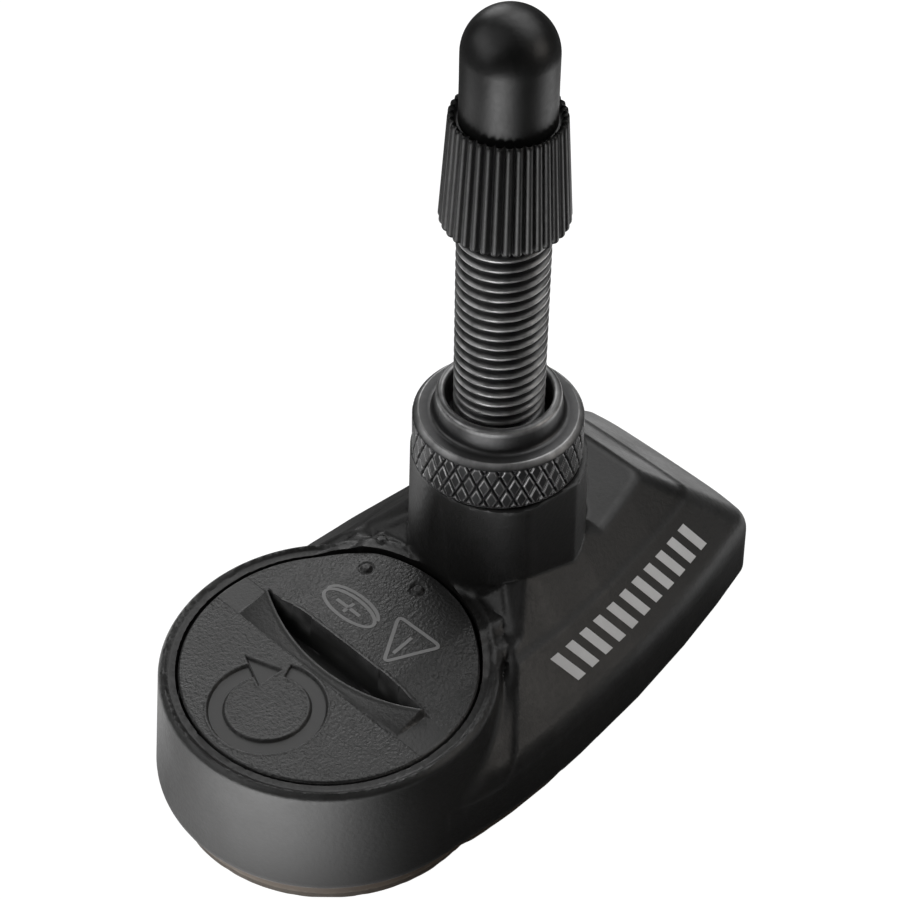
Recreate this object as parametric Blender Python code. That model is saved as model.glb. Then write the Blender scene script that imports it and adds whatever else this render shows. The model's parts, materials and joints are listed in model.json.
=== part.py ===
"""Bicycle tyre-pressure sensor on a through valve stem, modelled as separate parts.

+Z is up. X runs from the battery end (-X) to the wing end (+X). The object stands on its base at
Z = 0, with the origin under the middle of its outline. Sizes below are in millimetres.
"""

import math

import bmesh
import bpy
from mathutils import Vector

MM = 0.001
FIT_GAP = 0.15
TAU = 2 * math.pi

# Segment counts round a full turn
ROUND_SEGMENTS = 48
COVER_SEGMENTS = 40
CAP_HOLLOW_SEGMENTS = 36
TURNED_SEGMENTS = 24
STEM_SEGMENTS = 20
SMALL_SEGMENTS = 20
SCREW_SEGMENTS = 16
HOLE_SEGMENTS = 12
PIN_SEGMENTS = 10
SEAL_SIDES = 6
SHARP_ANGLE = math.radians(35)

# A cutter runs this far past the face it opens
CLEAR = 1.0
# Two rings this far apart make a flat step
STEP = 0.01

# Plan: the two vertical axes and the wing
BATTERY_X = -11.15
STEM_X = 4.4
WING_END_X = 23.15
WING_START_X = BATTERY_X + 0.05

# Heights
BASE_TOP = 1.9
HOUSING_BOTTOM = 2.0
SKIRT_TOP = 6.0
RIM_TOP = 10.5
DECK_TOP = 11.4
WING_DECK_LOW = 12.5
WING_DECK_START = 5.0
WING_DECK_HIGH = 13.0
BOSS_TOP = 19.5

# Housing
ROUND_RADIUS_LOW = 12.0
ROUND_RADIUS_HIGH = 11.25
BEAD_DROP = 0.5
BEAD_INSET = 0.4
NECK_OPEN_END = STEM_X - 2.2
NECK_OPEN_HALF = 20.0
NECK_OPEN_LENGTH = 15.0
SKIRT_DRAFT = 0.15
CREST_X = STEM_X + 10.6
CREST_HALF = 3.6
NECK_STEP_START = STEM_X - 9.3
NECK_STEP_END = STEM_X - 7.8
BOSS_FRONT_RADIUS = 6.65
BOSS_FRONT_CENTRE = STEM_X + 1.2
BOSS_CORNER = (STEM_X - 2.75, 5.35)
BOSS_SHOULDER = (STEM_X + 1.5, 5.85)
BOSS_BACK_RADIUS = 6.04
BOSS_DRAFT = 0.25
BOSS_ROOT = 8.0
BOSS_FRONT_STEPS = 10
BOSS_BACK_STEPS = 14
WALL = 1.6
BOARD_BAY_TOP = 4.4
WING_HOLLOW_START = STEM_X + 9.6
WING_HOLLOW_TOP = 10.9
WING_HOLLOW_END = WING_END_X - 3.6
WING_HOLLOW_TOP_END = CREST_X + 0.6
# Height, half width at the start and half width at the end, bottom to top
WING_HOLLOW_LEVELS = ((3.9, 7.2, 5.6), (6.0, 7.0, 5.4), (WING_HOLLOW_TOP, 2.6, 2.2))
STEM_BORE = 3.1
SENSOR_WELL_RADIUS = 1.75
SENSOR_WELL_TOP = 7.1
SENSOR_RISER_RADIUS = 0.6
SENSOR_RISER_BOTTOM = 6.5
GALLERY_HALF_WIDTH = 0.5
GALLERY_HALF_HEIGHT = 0.45
GALLERY_START = 2.0
GALLERY_END = 0.3
CONTACT_NOTCH_NEAR = 6.6
CONTACT_NOTCH_FAR = 9.3
CONTACT_NOTCH_HALF = 1.6

# Wing outline, as half widths along X
WING_START_HALF = 11.95
WING_WIDEST_HALF = 13.0
WING_WIDEST_X = STEM_X - 6.0
WING_LATE_HALF = 11.5
WING_LATE_X = STEM_X + 7.0
WING_CORNER_HALF = 8.75
WING_CORNER_LENGTH = 1.75
WING_CORNER_DRAFT = 0.75
WING_END_DROP = 1.45
CORNER_PULL = 0.7
CORNER_PULL_IN = 0.2
CORNER_LATE_IN = 0.65
END_BULGE = 0.6
END_BULGE_LATE = 0.2
END_SHARES = (0.68, 0.34)
SIDE_STEPS = 8
CORNER_STEPS = 3
END_STEPS = 3
ROUND_STEPS = 14

# Battery cover and bay
COVER_RADIUS = 9.85
COVER_BORE = 10.15
COVER_UNDERSIDE = 8.2
COVER_LEDGE = 7.5
PLUG_OUTER = 8.75
PLUG_INNER = 8.25
PLUG_BOTTOM = 5.6
PLUG_BORE = 8.95
LUG_RADIUS = 9.25
LUG_TOP = 6.35
LUG_BOTTOM = 5.75
LUG_HALF_ANGLE = math.radians(9)
LUG_COUNT = 3
LUG_START = math.radians(60)
LUG_ROOT = 0.3
LUG_ENTRY_SPREAD = 1.35
LUG_ENTRY_BOTTOM = 0.2
LUG_ENTRY_TOP = 0.4
LUG_ENTRY_GAP = 0.05
GROOVE_LEAD = 0.1
GROOVE_RADIUS = 9.45
GROOVE_TOP = 6.55
GROOVE_BOTTOM = 5.5
UNLOCK_ANGLE = math.radians(28)
CELL_BORE = 8.25
CELL_LEDGE_BORE = 7.2
CELL_LEDGE_TOP = 4.85
PLATEAU_EDGE_X = STEM_X - 13.9
PLATEAU_HALF = 4.9
SHOULDER_HALF = 8.0
COVER_HOLLOW_HEIGHT = 0.3
COVER_HOLLOW_BOTTOM = 4.0
COVER_CUT_REACH = 12.0
SHOULDER_TOP_GAP = 0.02
SHOULDER_LOW_GAP = 0.04
SHOULDER_OVERLAP = 0.3
SLOT_CHORD_X = STEM_X - 14.15
SLOT_HALF = 7.7
SLOT_WIDTH = 2.0
SLOT_FLOOR = 9.2
SLOT_STEPS = 12
COVER_SEAL_RADIUS = 9.52
COVER_SEAL_THICK = 0.5
COVER_SEAL_HEIGHT = 7.85
CELL_RADIUS = 8.0
CELL_BOTTOM = 4.9
CELL_HEIGHT = 3.2
CELL_RIM_STEP = 0.4
CELL_CAN_INSET = 1.1
CELL_CAN_LEAN = 0.2
CELL_EDGE = 0.25
CELL_LIP = 0.1
CONTACT_THICK = 0.15
CONTACT_HALF = 1.2
CONTACT_LIFT = 0.15
# Negative contact: its start, and each bend as (distance along X, drop below the cell)
NEGATIVE_START = BATTERY_X - 3.0
NEGATIVE_FLAT = 2.0
NEGATIVE_TOUCH = (4.2, 5.2)
NEGATIVE_TOUCH_DROP = 0.18
NEGATIVE_TIP = 5.9
NEGATIVE_TIP_DROP = 0.5
# Positive contact: how far its bends are from the battery axis
POSITIVE_START = BATTERY_X - 6.8
POSITIVE_OUTER = BATTERY_X - 8.85
POSITIVE_TIP = BATTERY_X - 8.2
POSITIVE_LEAN = 0.05
POSITIVE_RISE = 0.5
POSITIVE_TIP_RISE = 0.55

# Valve stem, ring and cap
STEM_RADIUS = 3.0
THREAD_PITCH = 25.4 / 32
THREAD_DEPTH = 0.42
THREAD_START = 24.0
THREAD_TURNS = 20
STEM_TOP = 45.6
FOOT_RADIUS = 4.4
FOOT_BOTTOM = 0.3
FOOT_TOP = 5.7
FOOT_BORE_GAP = 0.1
SOCKET_RADIUS = 3.06
SOCKET_TOP = 5.3
AIR_BORE = 1.2
CORE_BORE = 2.3
CORE_SEAT = 32.6
PORT_HEIGHT = 8.3
PORT_RADIUS = 0.6
PORT_LENGTH = 4.0
STEM_CHAMFER = 0.4
WHEEL_SEAL_OUTER = 2.95
WHEEL_SEAL_INNER = 1.3
WHEEL_SEAL_BOTTOM = 4.45
WHEEL_SEAL_TOP = 5.2
SEAL_THICK = 0.75
SEAL_RADIUS = 3.48
SEAL_GROOVE = 3.95
SEAL_HEIGHTS = {"stem_seal_lower": 7.0, "stem_seal_upper": 9.6}
SEAL_GROOVE_HALF = 0.5
RING_RADIUS = 5.67
RING_KNURL_DEPTH = 0.22
RING_COUNT = 24
RING_ROWS = 5
RING_KNURL_LEAD = 0.3
RING_UNDERCUT = 0.4
RING_BOTTOM = BOSS_TOP + 0.1
RING_KNURL_TOP = 23.05
RING_FACE = 23.4
RING_FACE_RADIUS = 5.32
RING_BORE = 3.07
RING_MOUTH = 3.54
RING_MOUTH_BOTTOM = 22.4
COLLAR_TOP = 25.05
COLLAR_BASE_RADIUS = 4.33
COLLAR_TOP_RADIUS = 4.1
COLLAR_LEAN = 0.1
COLLAR_EDGE_DROP = 0.25
COLLAR_EDGE_IN = 0.15
RING_MOUTH_CONE = 0.4
CAP_BOTTOM = 39.35
CAP_SKIRT_TOP = 47.2
CAP_BOTTOM_RADIUS = 4.15
CAP_TOP_RADIUS = 3.62
CAP_FLUTE_DEPTH = 0.3
CAP_FLUTES = 24
CAP_LEAD_IN = 0.2
CAP_LEAD_DEPTH = 0.1
CAP_LEAD_HEIGHT = 0.4
DOME_STEPS = 5
DOME_FOOT_SINK = 0.2
DOME_TIP_RADIUS = 0.2
DOME_RADIUS = 2.98
DOME_CENTRE = 51.5
CAP_BORE = 3.07
CAP_BORE_TOP = 46.2
CAP_HOLLOW = 2.45
CAP_HOLLOW_TOP = 53.3
CAP_HOLLOW_CONE = 0.3
CAP_HOLLOW_ROUND = 1.2
CAP_HOLLOW_TIP_SHARE = 0.5

# Valve core, as (radius, height) profiles
CORE_BODY_PROFILE = (
    (1.5, 35.2),
    (1.9, 36.2),
    (1.9, 40.0),
    (2.2, 40.3),
    (2.2, 45.2),
    (1.7, 45.8),
    (1.7, 46.8),
    (0.7, 46.8),
    (0.7, 45.4),
    (1.25, 45.1),
    (1.25, 37.0),
    (0.7, 36.7),
    (0.7, 35.2),
)
CORE_PIN_PROFILE = (
    (0.9, 34.1),
    (0.9, 34.3),
    (0.5, 34.4),
    (0.5, 41.0),
    (1.0, 41.1),
    (1.0, 41.5),
    (0.5, 41.6),
    (0.5, 50.3),
    (0.3, 50.6),
)
CORE_SEAL_PROFILE = ((1.35, 34.45), (1.35, 35.05), (0.6, 35.05), (0.6, 34.45))
LOCK_NUT_FLUTES = 10
LOCK_NUT_FLUTE_DEPTH = 0.12
LOCK_NUT_LEVELS = ((1.45, 48.0), (1.55, 48.3), (1.55, 49.6))
LOCK_NUT_TOP = (1.2, 49.9)
LOCK_NUT_BORE = 0.56
LOCK_NUT_BOTTOM = 48.0
SPRING_WIRE_RADIUS = 0.14
SPRING_TURNS = 5
SPRING_STEPS = 10
SPRING_RADIUS = 0.9
SPRING_BOTTOM = 37.35
SPRING_TOP = 40.75

# Base and board
BASE_INSET = 0.9
GASKET_TOP = 0.5
GASKET_INSET = 1.0
PLATE_BOTTOM = GASKET_TOP + 0.05
PLATE_FLOOR_TOP = 1.7
SPIGOT_TOP = 2.7
SPIGOT_OUTER = WALL + FIT_GAP
SPIGOT_WALL = 0.9
STEM_HOLE = 4.6
BOARD_BOTTOM = 3.0
BOARD_TOP = 3.8
BOARD_ROUND = 7.6
BOARD_HALF = 6.2
BOARD_TIP_HALF = 3.6
BOARD_TIP_X = STEM_X + 15.5
BOARD_SHOULDER_X = STEM_X + 9.0
BOARD_NECK_X = STEM_X + 10.4
BOARD_ROUND_STEPS = 14
BOARD_HOLE = 5.0
BOARD_CUT_BOTTOM = 2.0
BOARD_CUT_TOP = 5.0
PART_GAP = 0.05
# Board components as low and high corners, measured from the tip and the board's top
TIP_X = STEM_X + 10.3
CHIP_BOX = ((0.0, -1.6, 0.0), (3.2, 1.6, 0.85))
CRYSTAL_BOX = ((0.2, 2.0, 0.0), (2.2, 3.3, 0.7))
CAPACITOR_BOX = ((0.4, -3.2, 0.0), (2.0, -2.2, 0.8))
ANTENNA_FOOT = (3.6, 4.3)
ANTENNA_LIFT = 0.15
ANTENNA_BEND = (3.6, 6.6)
ANTENNA_END = (0.9, 9.2)
ANTENNA_THICK = 0.25
ANTENNA_HALF = 1.4
BOSS_PLACES = ((STEM_X - 4.3, 8.3), (STEM_X + 13.3, 5.75))
SCREW_BOSS_RADIUS = 1.5
SCREW_BOSS_SINK = 0.2
PILOT_GAP = 0.1
PILOT_EXTRA = 0.3
SCREW_EDGE_SHARE = 0.8
SCREW_EDGE_HEIGHT = 0.15
SCREW_NECK = 0.02
SCREW_POINT_LENGTH = 0.4
SCREW_POINT_SHARE = 0.4
RECESS_SHARE = 0.55
RECESS_HALF_WIDTH = 0.14
RECESS_START = 0.3
BASE_RECESS_DEPTH = 0.35
BOARD_RECESS_DEPTH = 0.25
PLATE_CUT_TOP = 5.0
PLATE_HEAD_HOLE_TOP = 1.4
SPIGOT_OVERLAP = 0.5
GASKET_HOLE = STEM_HOLE + 0.2
GASKET_CUT_TOP = 2.0
BASE_SCREW_HEAD = 1.15
BASE_SCREW_SHANK = 0.6
BASE_SCREW_HEAD_BOTTOM = 0.6
BASE_SCREW_HEAD_TOP = 1.3
BASE_SCREW_TIP = 5.4
BOARD_SCREW_PLACE = (STEM_X + 7.4, 4.0)
BOARD_SCREW_HEAD = 1.0
BOARD_SCREW_SHANK = 0.5
BOARD_SCREW_HEAD_BOTTOM = 2.35
BOARD_SCREW_HEAD_TOP = BOARD_BOTTOM - 0.1
BOARD_SCREW_TIP = 6.4
SENSOR_X = STEM_X + 6.0
SENSOR_RADIUS = 1.35
SENSOR_NOZZLE_RADIUS = 0.75
SENSOR_HEIGHT = 1.2
SENSOR_NOZZLE_TOP = 6.2
SENSOR_SEAL_OUTER = 1.65
SENSOR_SEAL_INNER = 0.85
SENSOR_SEAL_LIFT = 1.4
SENSOR_SEAL_TOP = 6.95

# Material name, colour, roughness and metallic value of each kind of part
MATERIALS = {
    "housing": ("black_nylon", (0.022, 0.022, 0.023), 0.5, 0.0),
    "cover": ("black_textured_nylon", (0.026, 0.026, 0.027), 0.55, 0.0),
    "base": ("base_nylon", (0.03, 0.028, 0.026), 0.6, 0.0),
    "rubber": ("black_rubber", (0.015, 0.015, 0.015), 0.8, 0.0),
    "stem": ("anodised_stem", (0.05, 0.05, 0.052), 0.4, 0.8),
    "ring": ("anodised_ring", (0.04, 0.04, 0.042), 0.42, 0.7),
    "cap": ("cap_plastic", (0.018, 0.018, 0.019), 0.35, 0.0),
    "cell": ("cell_steel", (0.7, 0.7, 0.68), 0.3, 1.0),
    "bright": ("tinned_metal", (0.75, 0.74, 0.7), 0.3, 1.0),
    "brass": ("brass", (0.72, 0.53, 0.25), 0.35, 1.0),
    "board": ("board_laminate", (0.02, 0.11, 0.05), 0.5, 0.0),
    "chip": ("chip_resin", (0.02, 0.02, 0.02), 0.6, 0.0),
    "ceramic": ("capacitor_ceramic", (0.45, 0.3, 0.16), 0.6, 0.0),
}


def clear_scene():
    for obj in list(bpy.data.objects):
        bpy.data.objects.remove(obj, do_unlink=True)


def principled(name, colour, roughness, metallic):
    material = bpy.data.materials.new(name)
    material.use_nodes = True
    shader = material.node_tree.nodes["Principled BSDF"]
    shader.inputs["Base Color"].default_value = (*colour, 1.0)
    shader.inputs["Roughness"].default_value = roughness
    shader.inputs["Metallic"].default_value = metallic
    material.diffuse_color = (*colour, 1.0)
    return material


# ---------------------------------------------------------------- shapes


def add_object(name, points, faces, material=None, origin=(0.0, 0.0, 0.0), smooth=True):
    """One object from points in millimetres, with its own origin at the place given."""
    start = Vector(origin)
    mesh = bpy.data.meshes.new(name)
    mesh.from_pydata([(Vector(point) - start) * MM for point in points], [], faces)
    mesh.validate()
    if smooth:
        mesh.shade_smooth()
        mesh.set_sharp_from_angle(angle=SHARP_ANGLE)
    obj = bpy.data.objects.new(name, mesh)
    obj.location = start * MM
    bpy.context.scene.collection.objects.link(obj)
    if material:
        mesh.materials.append(material)
    return obj


def loft(name, rings, material=None, origin=(0.0, 0.0, 0.0), smooth=True):
    """Skins rings of equal count, listed bottom to top and anticlockwise, and caps both ends."""
    count = len(rings[0])
    points = [point for ring in rings for point in ring]
    faces = [tuple(reversed(range(count)))]
    for level in range(len(rings) - 1):
        low = level * count
        for i in range(count):
            j = (i + 1) % count
            faces.append((low + i, low + j, low + count + j, low + count + i))
    last = (len(rings) - 1) * count
    faces.append(tuple(range(last, last + count)))
    return add_object(name, points, faces, material, origin, smooth)


def split_twisted(obj, most_corners):
    """Makes triangles of the faces with up to this many corners, so that a Boolean meets flat faces."""
    work = bmesh.new()
    work.from_mesh(obj.data)
    bmesh.ops.triangulate(work, faces=[f for f in work.faces if len(f.verts) <= most_corners])
    work.to_mesh(obj.data)
    work.free()
    return obj


def prism(name, outline, bottom, top, material=None, origin=(0.0, 0.0, 0.0)):
    rings = [[(x, y, z) for x, y in outline] for z in (bottom, top)]
    return loft(name, rings, material, origin)


def closed_skin(name, loops, material=None, origin=(0.0, 0.0, 0.0)):
    """Skins loops into a ring-shaped solid: the last loop joins the first."""
    count = len(loops[0])
    total = count * len(loops)
    points = [point for loop in loops for point in loop]
    faces = []
    for level in range(len(loops)):
        low = level * count
        for i in range(count):
            j = (i + 1) % count
            faces.append((low + i, low + j, (low + count + j) % total, (low + count + i) % total))
    return add_object(name, points, faces, material, origin)


def circle(radius, height, axis, segments):
    return [
        (
            axis[0] + radius * math.cos(TAU * i / segments),
            axis[1] + radius * math.sin(TAU * i / segments),
            height,
        )
        for i in range(segments)
    ]


def turned(name, profile, axis, segments=TURNED_SEGMENTS, material=None, origin=None):
    """A solid of revolution from (radius, height) points, listed bottom to top up its outer side."""
    rings = [circle(radius, height, axis, segments) for radius, height in profile]
    return loft(name, rings, material, origin or (axis[0], axis[1], 0.0))


def turned_tube(name, profile, axis, segments=TURNED_SEGMENTS, material=None, origin=None):
    """A hollow solid of revolution: the points go up its outer side and down its bore."""
    loops = [circle(radius, height, axis, segments) for radius, height in profile]
    return closed_skin(name, loops, material, origin or (axis[0], axis[1], 0.0))


def cylinder(name, radius, bottom, top, axis, segments=TURNED_SEGMENTS, material=None):
    return turned(name, [(radius, bottom), (radius, top)], axis, segments, material)


def torus(name, radius, thick, height, axis, material, segments=TURNED_SEGMENTS):
    half = thick / 2
    profile = [
        (
            radius + half * math.cos(TAU * i / SEAL_SIDES),
            height + half * math.sin(TAU * i / SEAL_SIDES),
        )
        for i in range(SEAL_SIDES)
    ]
    return turned_tube(name, profile, axis, segments, material)


def box(name, low, high, material=None):
    outline = [(low[0], low[1]), (high[0], low[1]), (high[0], high[1]), (low[0], high[1])]
    return prism(name, outline, low[2], high[2], material)


def boolean(target, other, operation):
    other.hide_render = True
    other.display_type = "WIRE"
    modifier = target.modifiers.new(other.name, "BOOLEAN")
    modifier.operation = operation
    modifier.solver = "EXACT"
    modifier.object = other


def cut(target, *cutters):
    for cutter in cutters:
        boolean(target, cutter, "DIFFERENCE")


def unite(target, *others):
    for other in others:
        boolean(target, other, "UNION")


# ---------------------------------------------------------------- outlines


def bezier(points, steps):
    """Points along a cubic curve, leaving out its last one."""
    found = []
    for step in range(steps):
        t = step / steps
        weights = ((1 - t) ** 3, 3 * t * (1 - t) ** 2, 3 * t * t * (1 - t), t**3)
        found.append(tuple(sum(w * p[k] for w, p in zip(weights, points)) for k in (0, 1)))
    return found


def wing_half(inset=0.0):
    """The +Y half of the wing's outline, from the battery axis to the middle of the wing end."""
    end_x = WING_END_X - inset
    corner_x = end_x - WING_CORNER_LENGTH
    corner_half = WING_CORNER_HALF - WING_CORNER_DRAFT * inset
    end_half = corner_half - WING_END_DROP
    side = (
        (WING_START_X, WING_START_HALF - inset),
        (WING_WIDEST_X, WING_WIDEST_HALF - inset),
        (WING_LATE_X, WING_LATE_HALF - inset),
        (corner_x, corner_half),
    )
    corner = (
        (corner_x, corner_half),
        (corner_x + CORNER_PULL, corner_half - CORNER_PULL_IN),
        (end_x - CORNER_PULL, corner_half - CORNER_LATE_IN),
        (end_x - END_BULGE, end_half),
    )
    end = (
        (end_x - END_BULGE, end_half),
        (end_x - END_BULGE_LATE, end_half * END_SHARES[0]),
        (end_x, end_half * END_SHARES[1]),
        (end_x, 0.0),
    )
    return bezier(side, SIDE_STEPS) + bezier(corner, CORNER_STEPS) + bezier(end, END_STEPS) + [end[3]]


def mirrored(half):
    """A closed anticlockwise outline from a +Y half that ends on the X axis at +X."""
    return [(x, -y) for x, y in half] + [(x, y) for x, y in reversed(half[:-1])]


def body_outline(amount):
    """The whole plan outline moved inwards: the wing's half outlines and the round battery end."""
    half = wing_half(amount)
    wing = mirrored(half)
    radius = half[0][1]
    arc = [math.pi / 2 + math.pi * i / ROUND_STEPS for i in range(1, ROUND_STEPS)]
    return wing + [(BATTERY_X + radius * math.cos(a), radius * math.sin(a)) for a in arc]


def boss_outline(grow):
    """The boss round the stem: a flat arc toward the cover, plain sides, a round back."""
    front_radius = BOSS_FRONT_RADIUS + grow
    corner_angle = math.atan2(BOSS_CORNER[1], BOSS_CORNER[0] - BOSS_FRONT_CENTRE)
    back_angle = math.atan2(BOSS_SHOULDER[1], BOSS_SHOULDER[0] - STEM_X)
    points = []
    for i in range(BOSS_FRONT_STEPS + 1):
        a = corner_angle + (TAU - 2 * corner_angle) * i / BOSS_FRONT_STEPS
        x = BOSS_FRONT_CENTRE + front_radius * math.cos(a)
        points.append((x, front_radius * math.sin(a)))
    for i in range(BOSS_BACK_STEPS + 1):
        a = -back_angle + 2 * back_angle * i / BOSS_BACK_STEPS
        radius = BOSS_BACK_RADIUS + grow
        points.append((STEM_X + radius * math.cos(a), radius * math.sin(a)))
    return points


# ---------------------------------------------------------------- housing


def wing_top_point(x, y):
    """Where an outline point lands on the wing's roof edge."""
    corner_x = WING_END_X - WING_CORNER_LENGTH
    if x <= corner_x:
        share = (x - WING_START_X) / (corner_x - WING_START_X)
        top_x = WING_START_X + (CREST_X - WING_START_X) * share
        top_y = y / 2 + (CREST_HALF - WING_CORNER_HALF / 2) * share
    else:
        top_x = CREST_X
        top_y = y * CREST_HALF / WING_CORNER_HALF
    run = CREST_X - STEM_X - WING_DECK_START
    rise = max(0.0, min(1.0, (top_x - STEM_X - WING_DECK_START) / run))
    return (top_x, top_y, WING_DECK_LOW + (WING_DECK_HIGH - WING_DECK_LOW) * rise)


def wing_body(name):
    half = wing_half()
    tops = [wing_top_point(x, y) for x, y in half]
    low = [(x, y, HOUSING_BOTTOM) for x, y in mirrored(half)]
    skirt = [(x, y, SKIRT_TOP) for x, y in mirrored(wing_half(SKIRT_DRAFT))]
    top = [(x, -y, z) for x, y, z in tops] + [(x, y, z) for x, y, z in reversed(tops[:-1])]
    return split_twisted(loft(name, [low, skirt, top]), len(top))


def deck_clearance():
    """What is open above the rim and the neck deck, between the battery end and the boss."""
    top = BOSS_TOP + CLEAR
    front = BATTERY_X - NECK_OPEN_LENGTH
    profile = [
        (front, RIM_TOP),
        (NECK_STEP_START, RIM_TOP),
        (NECK_STEP_END, DECK_TOP),
        (NECK_OPEN_END, DECK_TOP),
        (NECK_OPEN_END, top),
        (front, top),
    ]
    rings = [[(x, y, z) for x, z in profile] for y in (NECK_OPEN_HALF, -NECK_OPEN_HALF)]
    return loft("deck_clearance", rings)


def wing_hollow():
    """The space under the wing's roof for the radio."""
    start = WING_HOLLOW_START
    rings = []
    for z, start_half, end_half in WING_HOLLOW_LEVELS:
        end = WING_HOLLOW_TOP_END if z == WING_HOLLOW_TOP else WING_HOLLOW_END
        rings.append(
            [(start, -start_half, z), (end, -end_half, z), (end, end_half, z), (start, start_half, z)]
        )
    return split_twisted(loft("wing_hollow", rings), 4)


def wedge(name, inner, outer, centre_angle, half_angle, bottom, top):
    """A sector of a ring round the battery axis."""
    steps = 4
    angles = [centre_angle + half_angle * (2 * i / steps - 1) for i in range(steps + 1)]
    outline = [(BATTERY_X + outer * math.cos(a), outer * math.sin(a)) for a in angles]
    outline += [(BATTERY_X + inner * math.cos(a), inner * math.sin(a)) for a in reversed(angles)]
    return prism(name, outline, bottom, top)


def lug_angles():
    return [LUG_START + TAU * i / LUG_COUNT for i in range(LUG_COUNT)]


def make_housing(material):
    battery_axis, stem_axis = (BATTERY_X, 0.0), (STEM_X, 0.0)
    housing = wing_body("housing")
    housing.data.materials.append(material)
    cut(housing, deck_clearance())
    round_end = turned(
        "round_end",
        [
            (ROUND_RADIUS_LOW, HOUSING_BOTTOM),
            (ROUND_RADIUS_HIGH, RIM_TOP - BEAD_DROP),
            (ROUND_RADIUS_HIGH - BEAD_INSET, RIM_TOP - STEP),
        ],
        battery_axis,
        ROUND_SEGMENTS,
    )
    boss = loft(
        "boss",
        [
            [(x, y, BOSS_ROOT) for x, y in boss_outline(BOSS_DRAFT)],
            [(x, y, BOSS_TOP) for x, y in boss_outline(0.0)],
        ],
    )
    split_twisted(boss, 4)
    unite(housing, round_end, boss)
    board_bay = prism("board_bay", body_outline(WALL), HOUSING_BOTTOM - CLEAR, BOARD_BAY_TOP)
    screw_bosses = []
    for i, (x, y) in enumerate(BOSS_PLACES):
        for side in (-1, 1):
            name = f"screw_boss_{2 * i + (side + 1) // 2}"
            post = cylinder(
                name,
                SCREW_BOSS_RADIUS,
                BOARD_BOTTOM - SCREW_BOSS_SINK,
                BOARD_BAY_TOP + CLEAR,
                (x, side * y),
                HOLE_SEGMENTS,
            )
            screw_bosses.append(post)
    cut(board_bay, *screw_bosses)
    bay = turned(
        "battery_bay",
        [
            (CELL_LEDGE_BORE, BOARD_BAY_TOP - CLEAR / 2),
            (CELL_LEDGE_BORE, CELL_LEDGE_TOP),
            (CELL_BORE, CELL_LEDGE_TOP + STEP),
            (CELL_BORE, GROOVE_BOTTOM - GROOVE_LEAD),
            (GROOVE_RADIUS, GROOVE_BOTTOM),
            (GROOVE_RADIUS, GROOVE_TOP),
            (PLUG_BORE, GROOVE_TOP + STEP),
            (PLUG_BORE, COVER_LEDGE - STEP),
            (COVER_BORE, COVER_LEDGE),
            (COVER_BORE, DECK_TOP + CLEAR),
        ],
        battery_axis,
        COVER_SEGMENTS,
    )
    entries = [
        wedge(
            f"lug_entry_{i}",
            PLUG_INNER,
            GROOVE_RADIUS - LUG_ENTRY_GAP,
            angle + UNLOCK_ANGLE,
            LUG_HALF_ANGLE * LUG_ENTRY_SPREAD,
            GROOVE_BOTTOM + LUG_ENTRY_BOTTOM,
            COVER_LEDGE + LUG_ENTRY_TOP,
        )
        for i, angle in enumerate(lug_angles())
    ]
    bay_floor = BOARD_BAY_TOP - CLEAR
    bore = cylinder("stem_bore", STEM_BORE, bay_floor, BOSS_TOP + CLEAR, stem_axis)
    foot_bore = cylinder("foot_bore", STEM_HOLE, bay_floor, FOOT_TOP + FOOT_BORE_GAP, stem_axis)
    grooves = [
        cylinder(
            f"{name}_groove", SEAL_GROOVE, z - SEAL_GROOVE_HALF, z + SEAL_GROOVE_HALF, stem_axis
        )
        for name, z in SEAL_HEIGHTS.items()
    ]
    sensor_axis = (SENSOR_X, 0.0)
    sensor_well = cylinder(
        "sensor_well", SENSOR_WELL_RADIUS, bay_floor, SENSOR_WELL_TOP, sensor_axis, SMALL_SEGMENTS
    )
    sensor_riser = cylinder(
        "sensor_riser",
        SENSOR_RISER_RADIUS,
        SENSOR_RISER_BOTTOM,
        PORT_HEIGHT + GALLERY_END,
        sensor_axis,
        HOLE_SEGMENTS,
    )
    gallery = box(
        "gallery",
        (STEM_X + GALLERY_START, -GALLERY_HALF_WIDTH, PORT_HEIGHT - GALLERY_HALF_HEIGHT),
        (SENSOR_X + GALLERY_END, GALLERY_HALF_WIDTH, PORT_HEIGHT + GALLERY_HALF_HEIGHT),
    )
    contact_notch = box(
        "contact_notch",
        (BATTERY_X - CONTACT_NOTCH_FAR, -CONTACT_NOTCH_HALF, bay_floor),
        (BATTERY_X - CONTACT_NOTCH_NEAR, CONTACT_NOTCH_HALF, GROOVE_BOTTOM + GROOVE_LEAD),
    )
    cut(housing, board_bay, bay, *entries, bore, foot_bore, *grooves, wing_hollow())
    cut(housing, sensor_well, sensor_riser, gallery, contact_notch)
    for i, (x, y) in enumerate(BOSS_PLACES):
        for side in (-1, 1):
            pilot = f"base_pilot_{2 * i + (side + 1) // 2}"
            radius, top = BASE_SCREW_SHANK + PILOT_GAP, BASE_SCREW_TIP + PILOT_EXTRA
            low = HOUSING_BOTTOM - CLEAR
            cut(housing, cylinder(pilot, radius, low, top, (x, side * y), HOLE_SEGMENTS))
    for side in (-1, 1):
        x, y = BOARD_SCREW_PLACE
        pilot = f"board_pilot_{(side + 1) // 2}"
        radius, top = BOARD_SCREW_SHANK + PILOT_GAP, BOARD_SCREW_TIP + PILOT_EXTRA
        cut(housing, cylinder(pilot, radius, bay_floor, top, (x, side * y), HOLE_SEGMENTS))
    return housing


# ---------------------------------------------------------------- battery side


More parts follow.
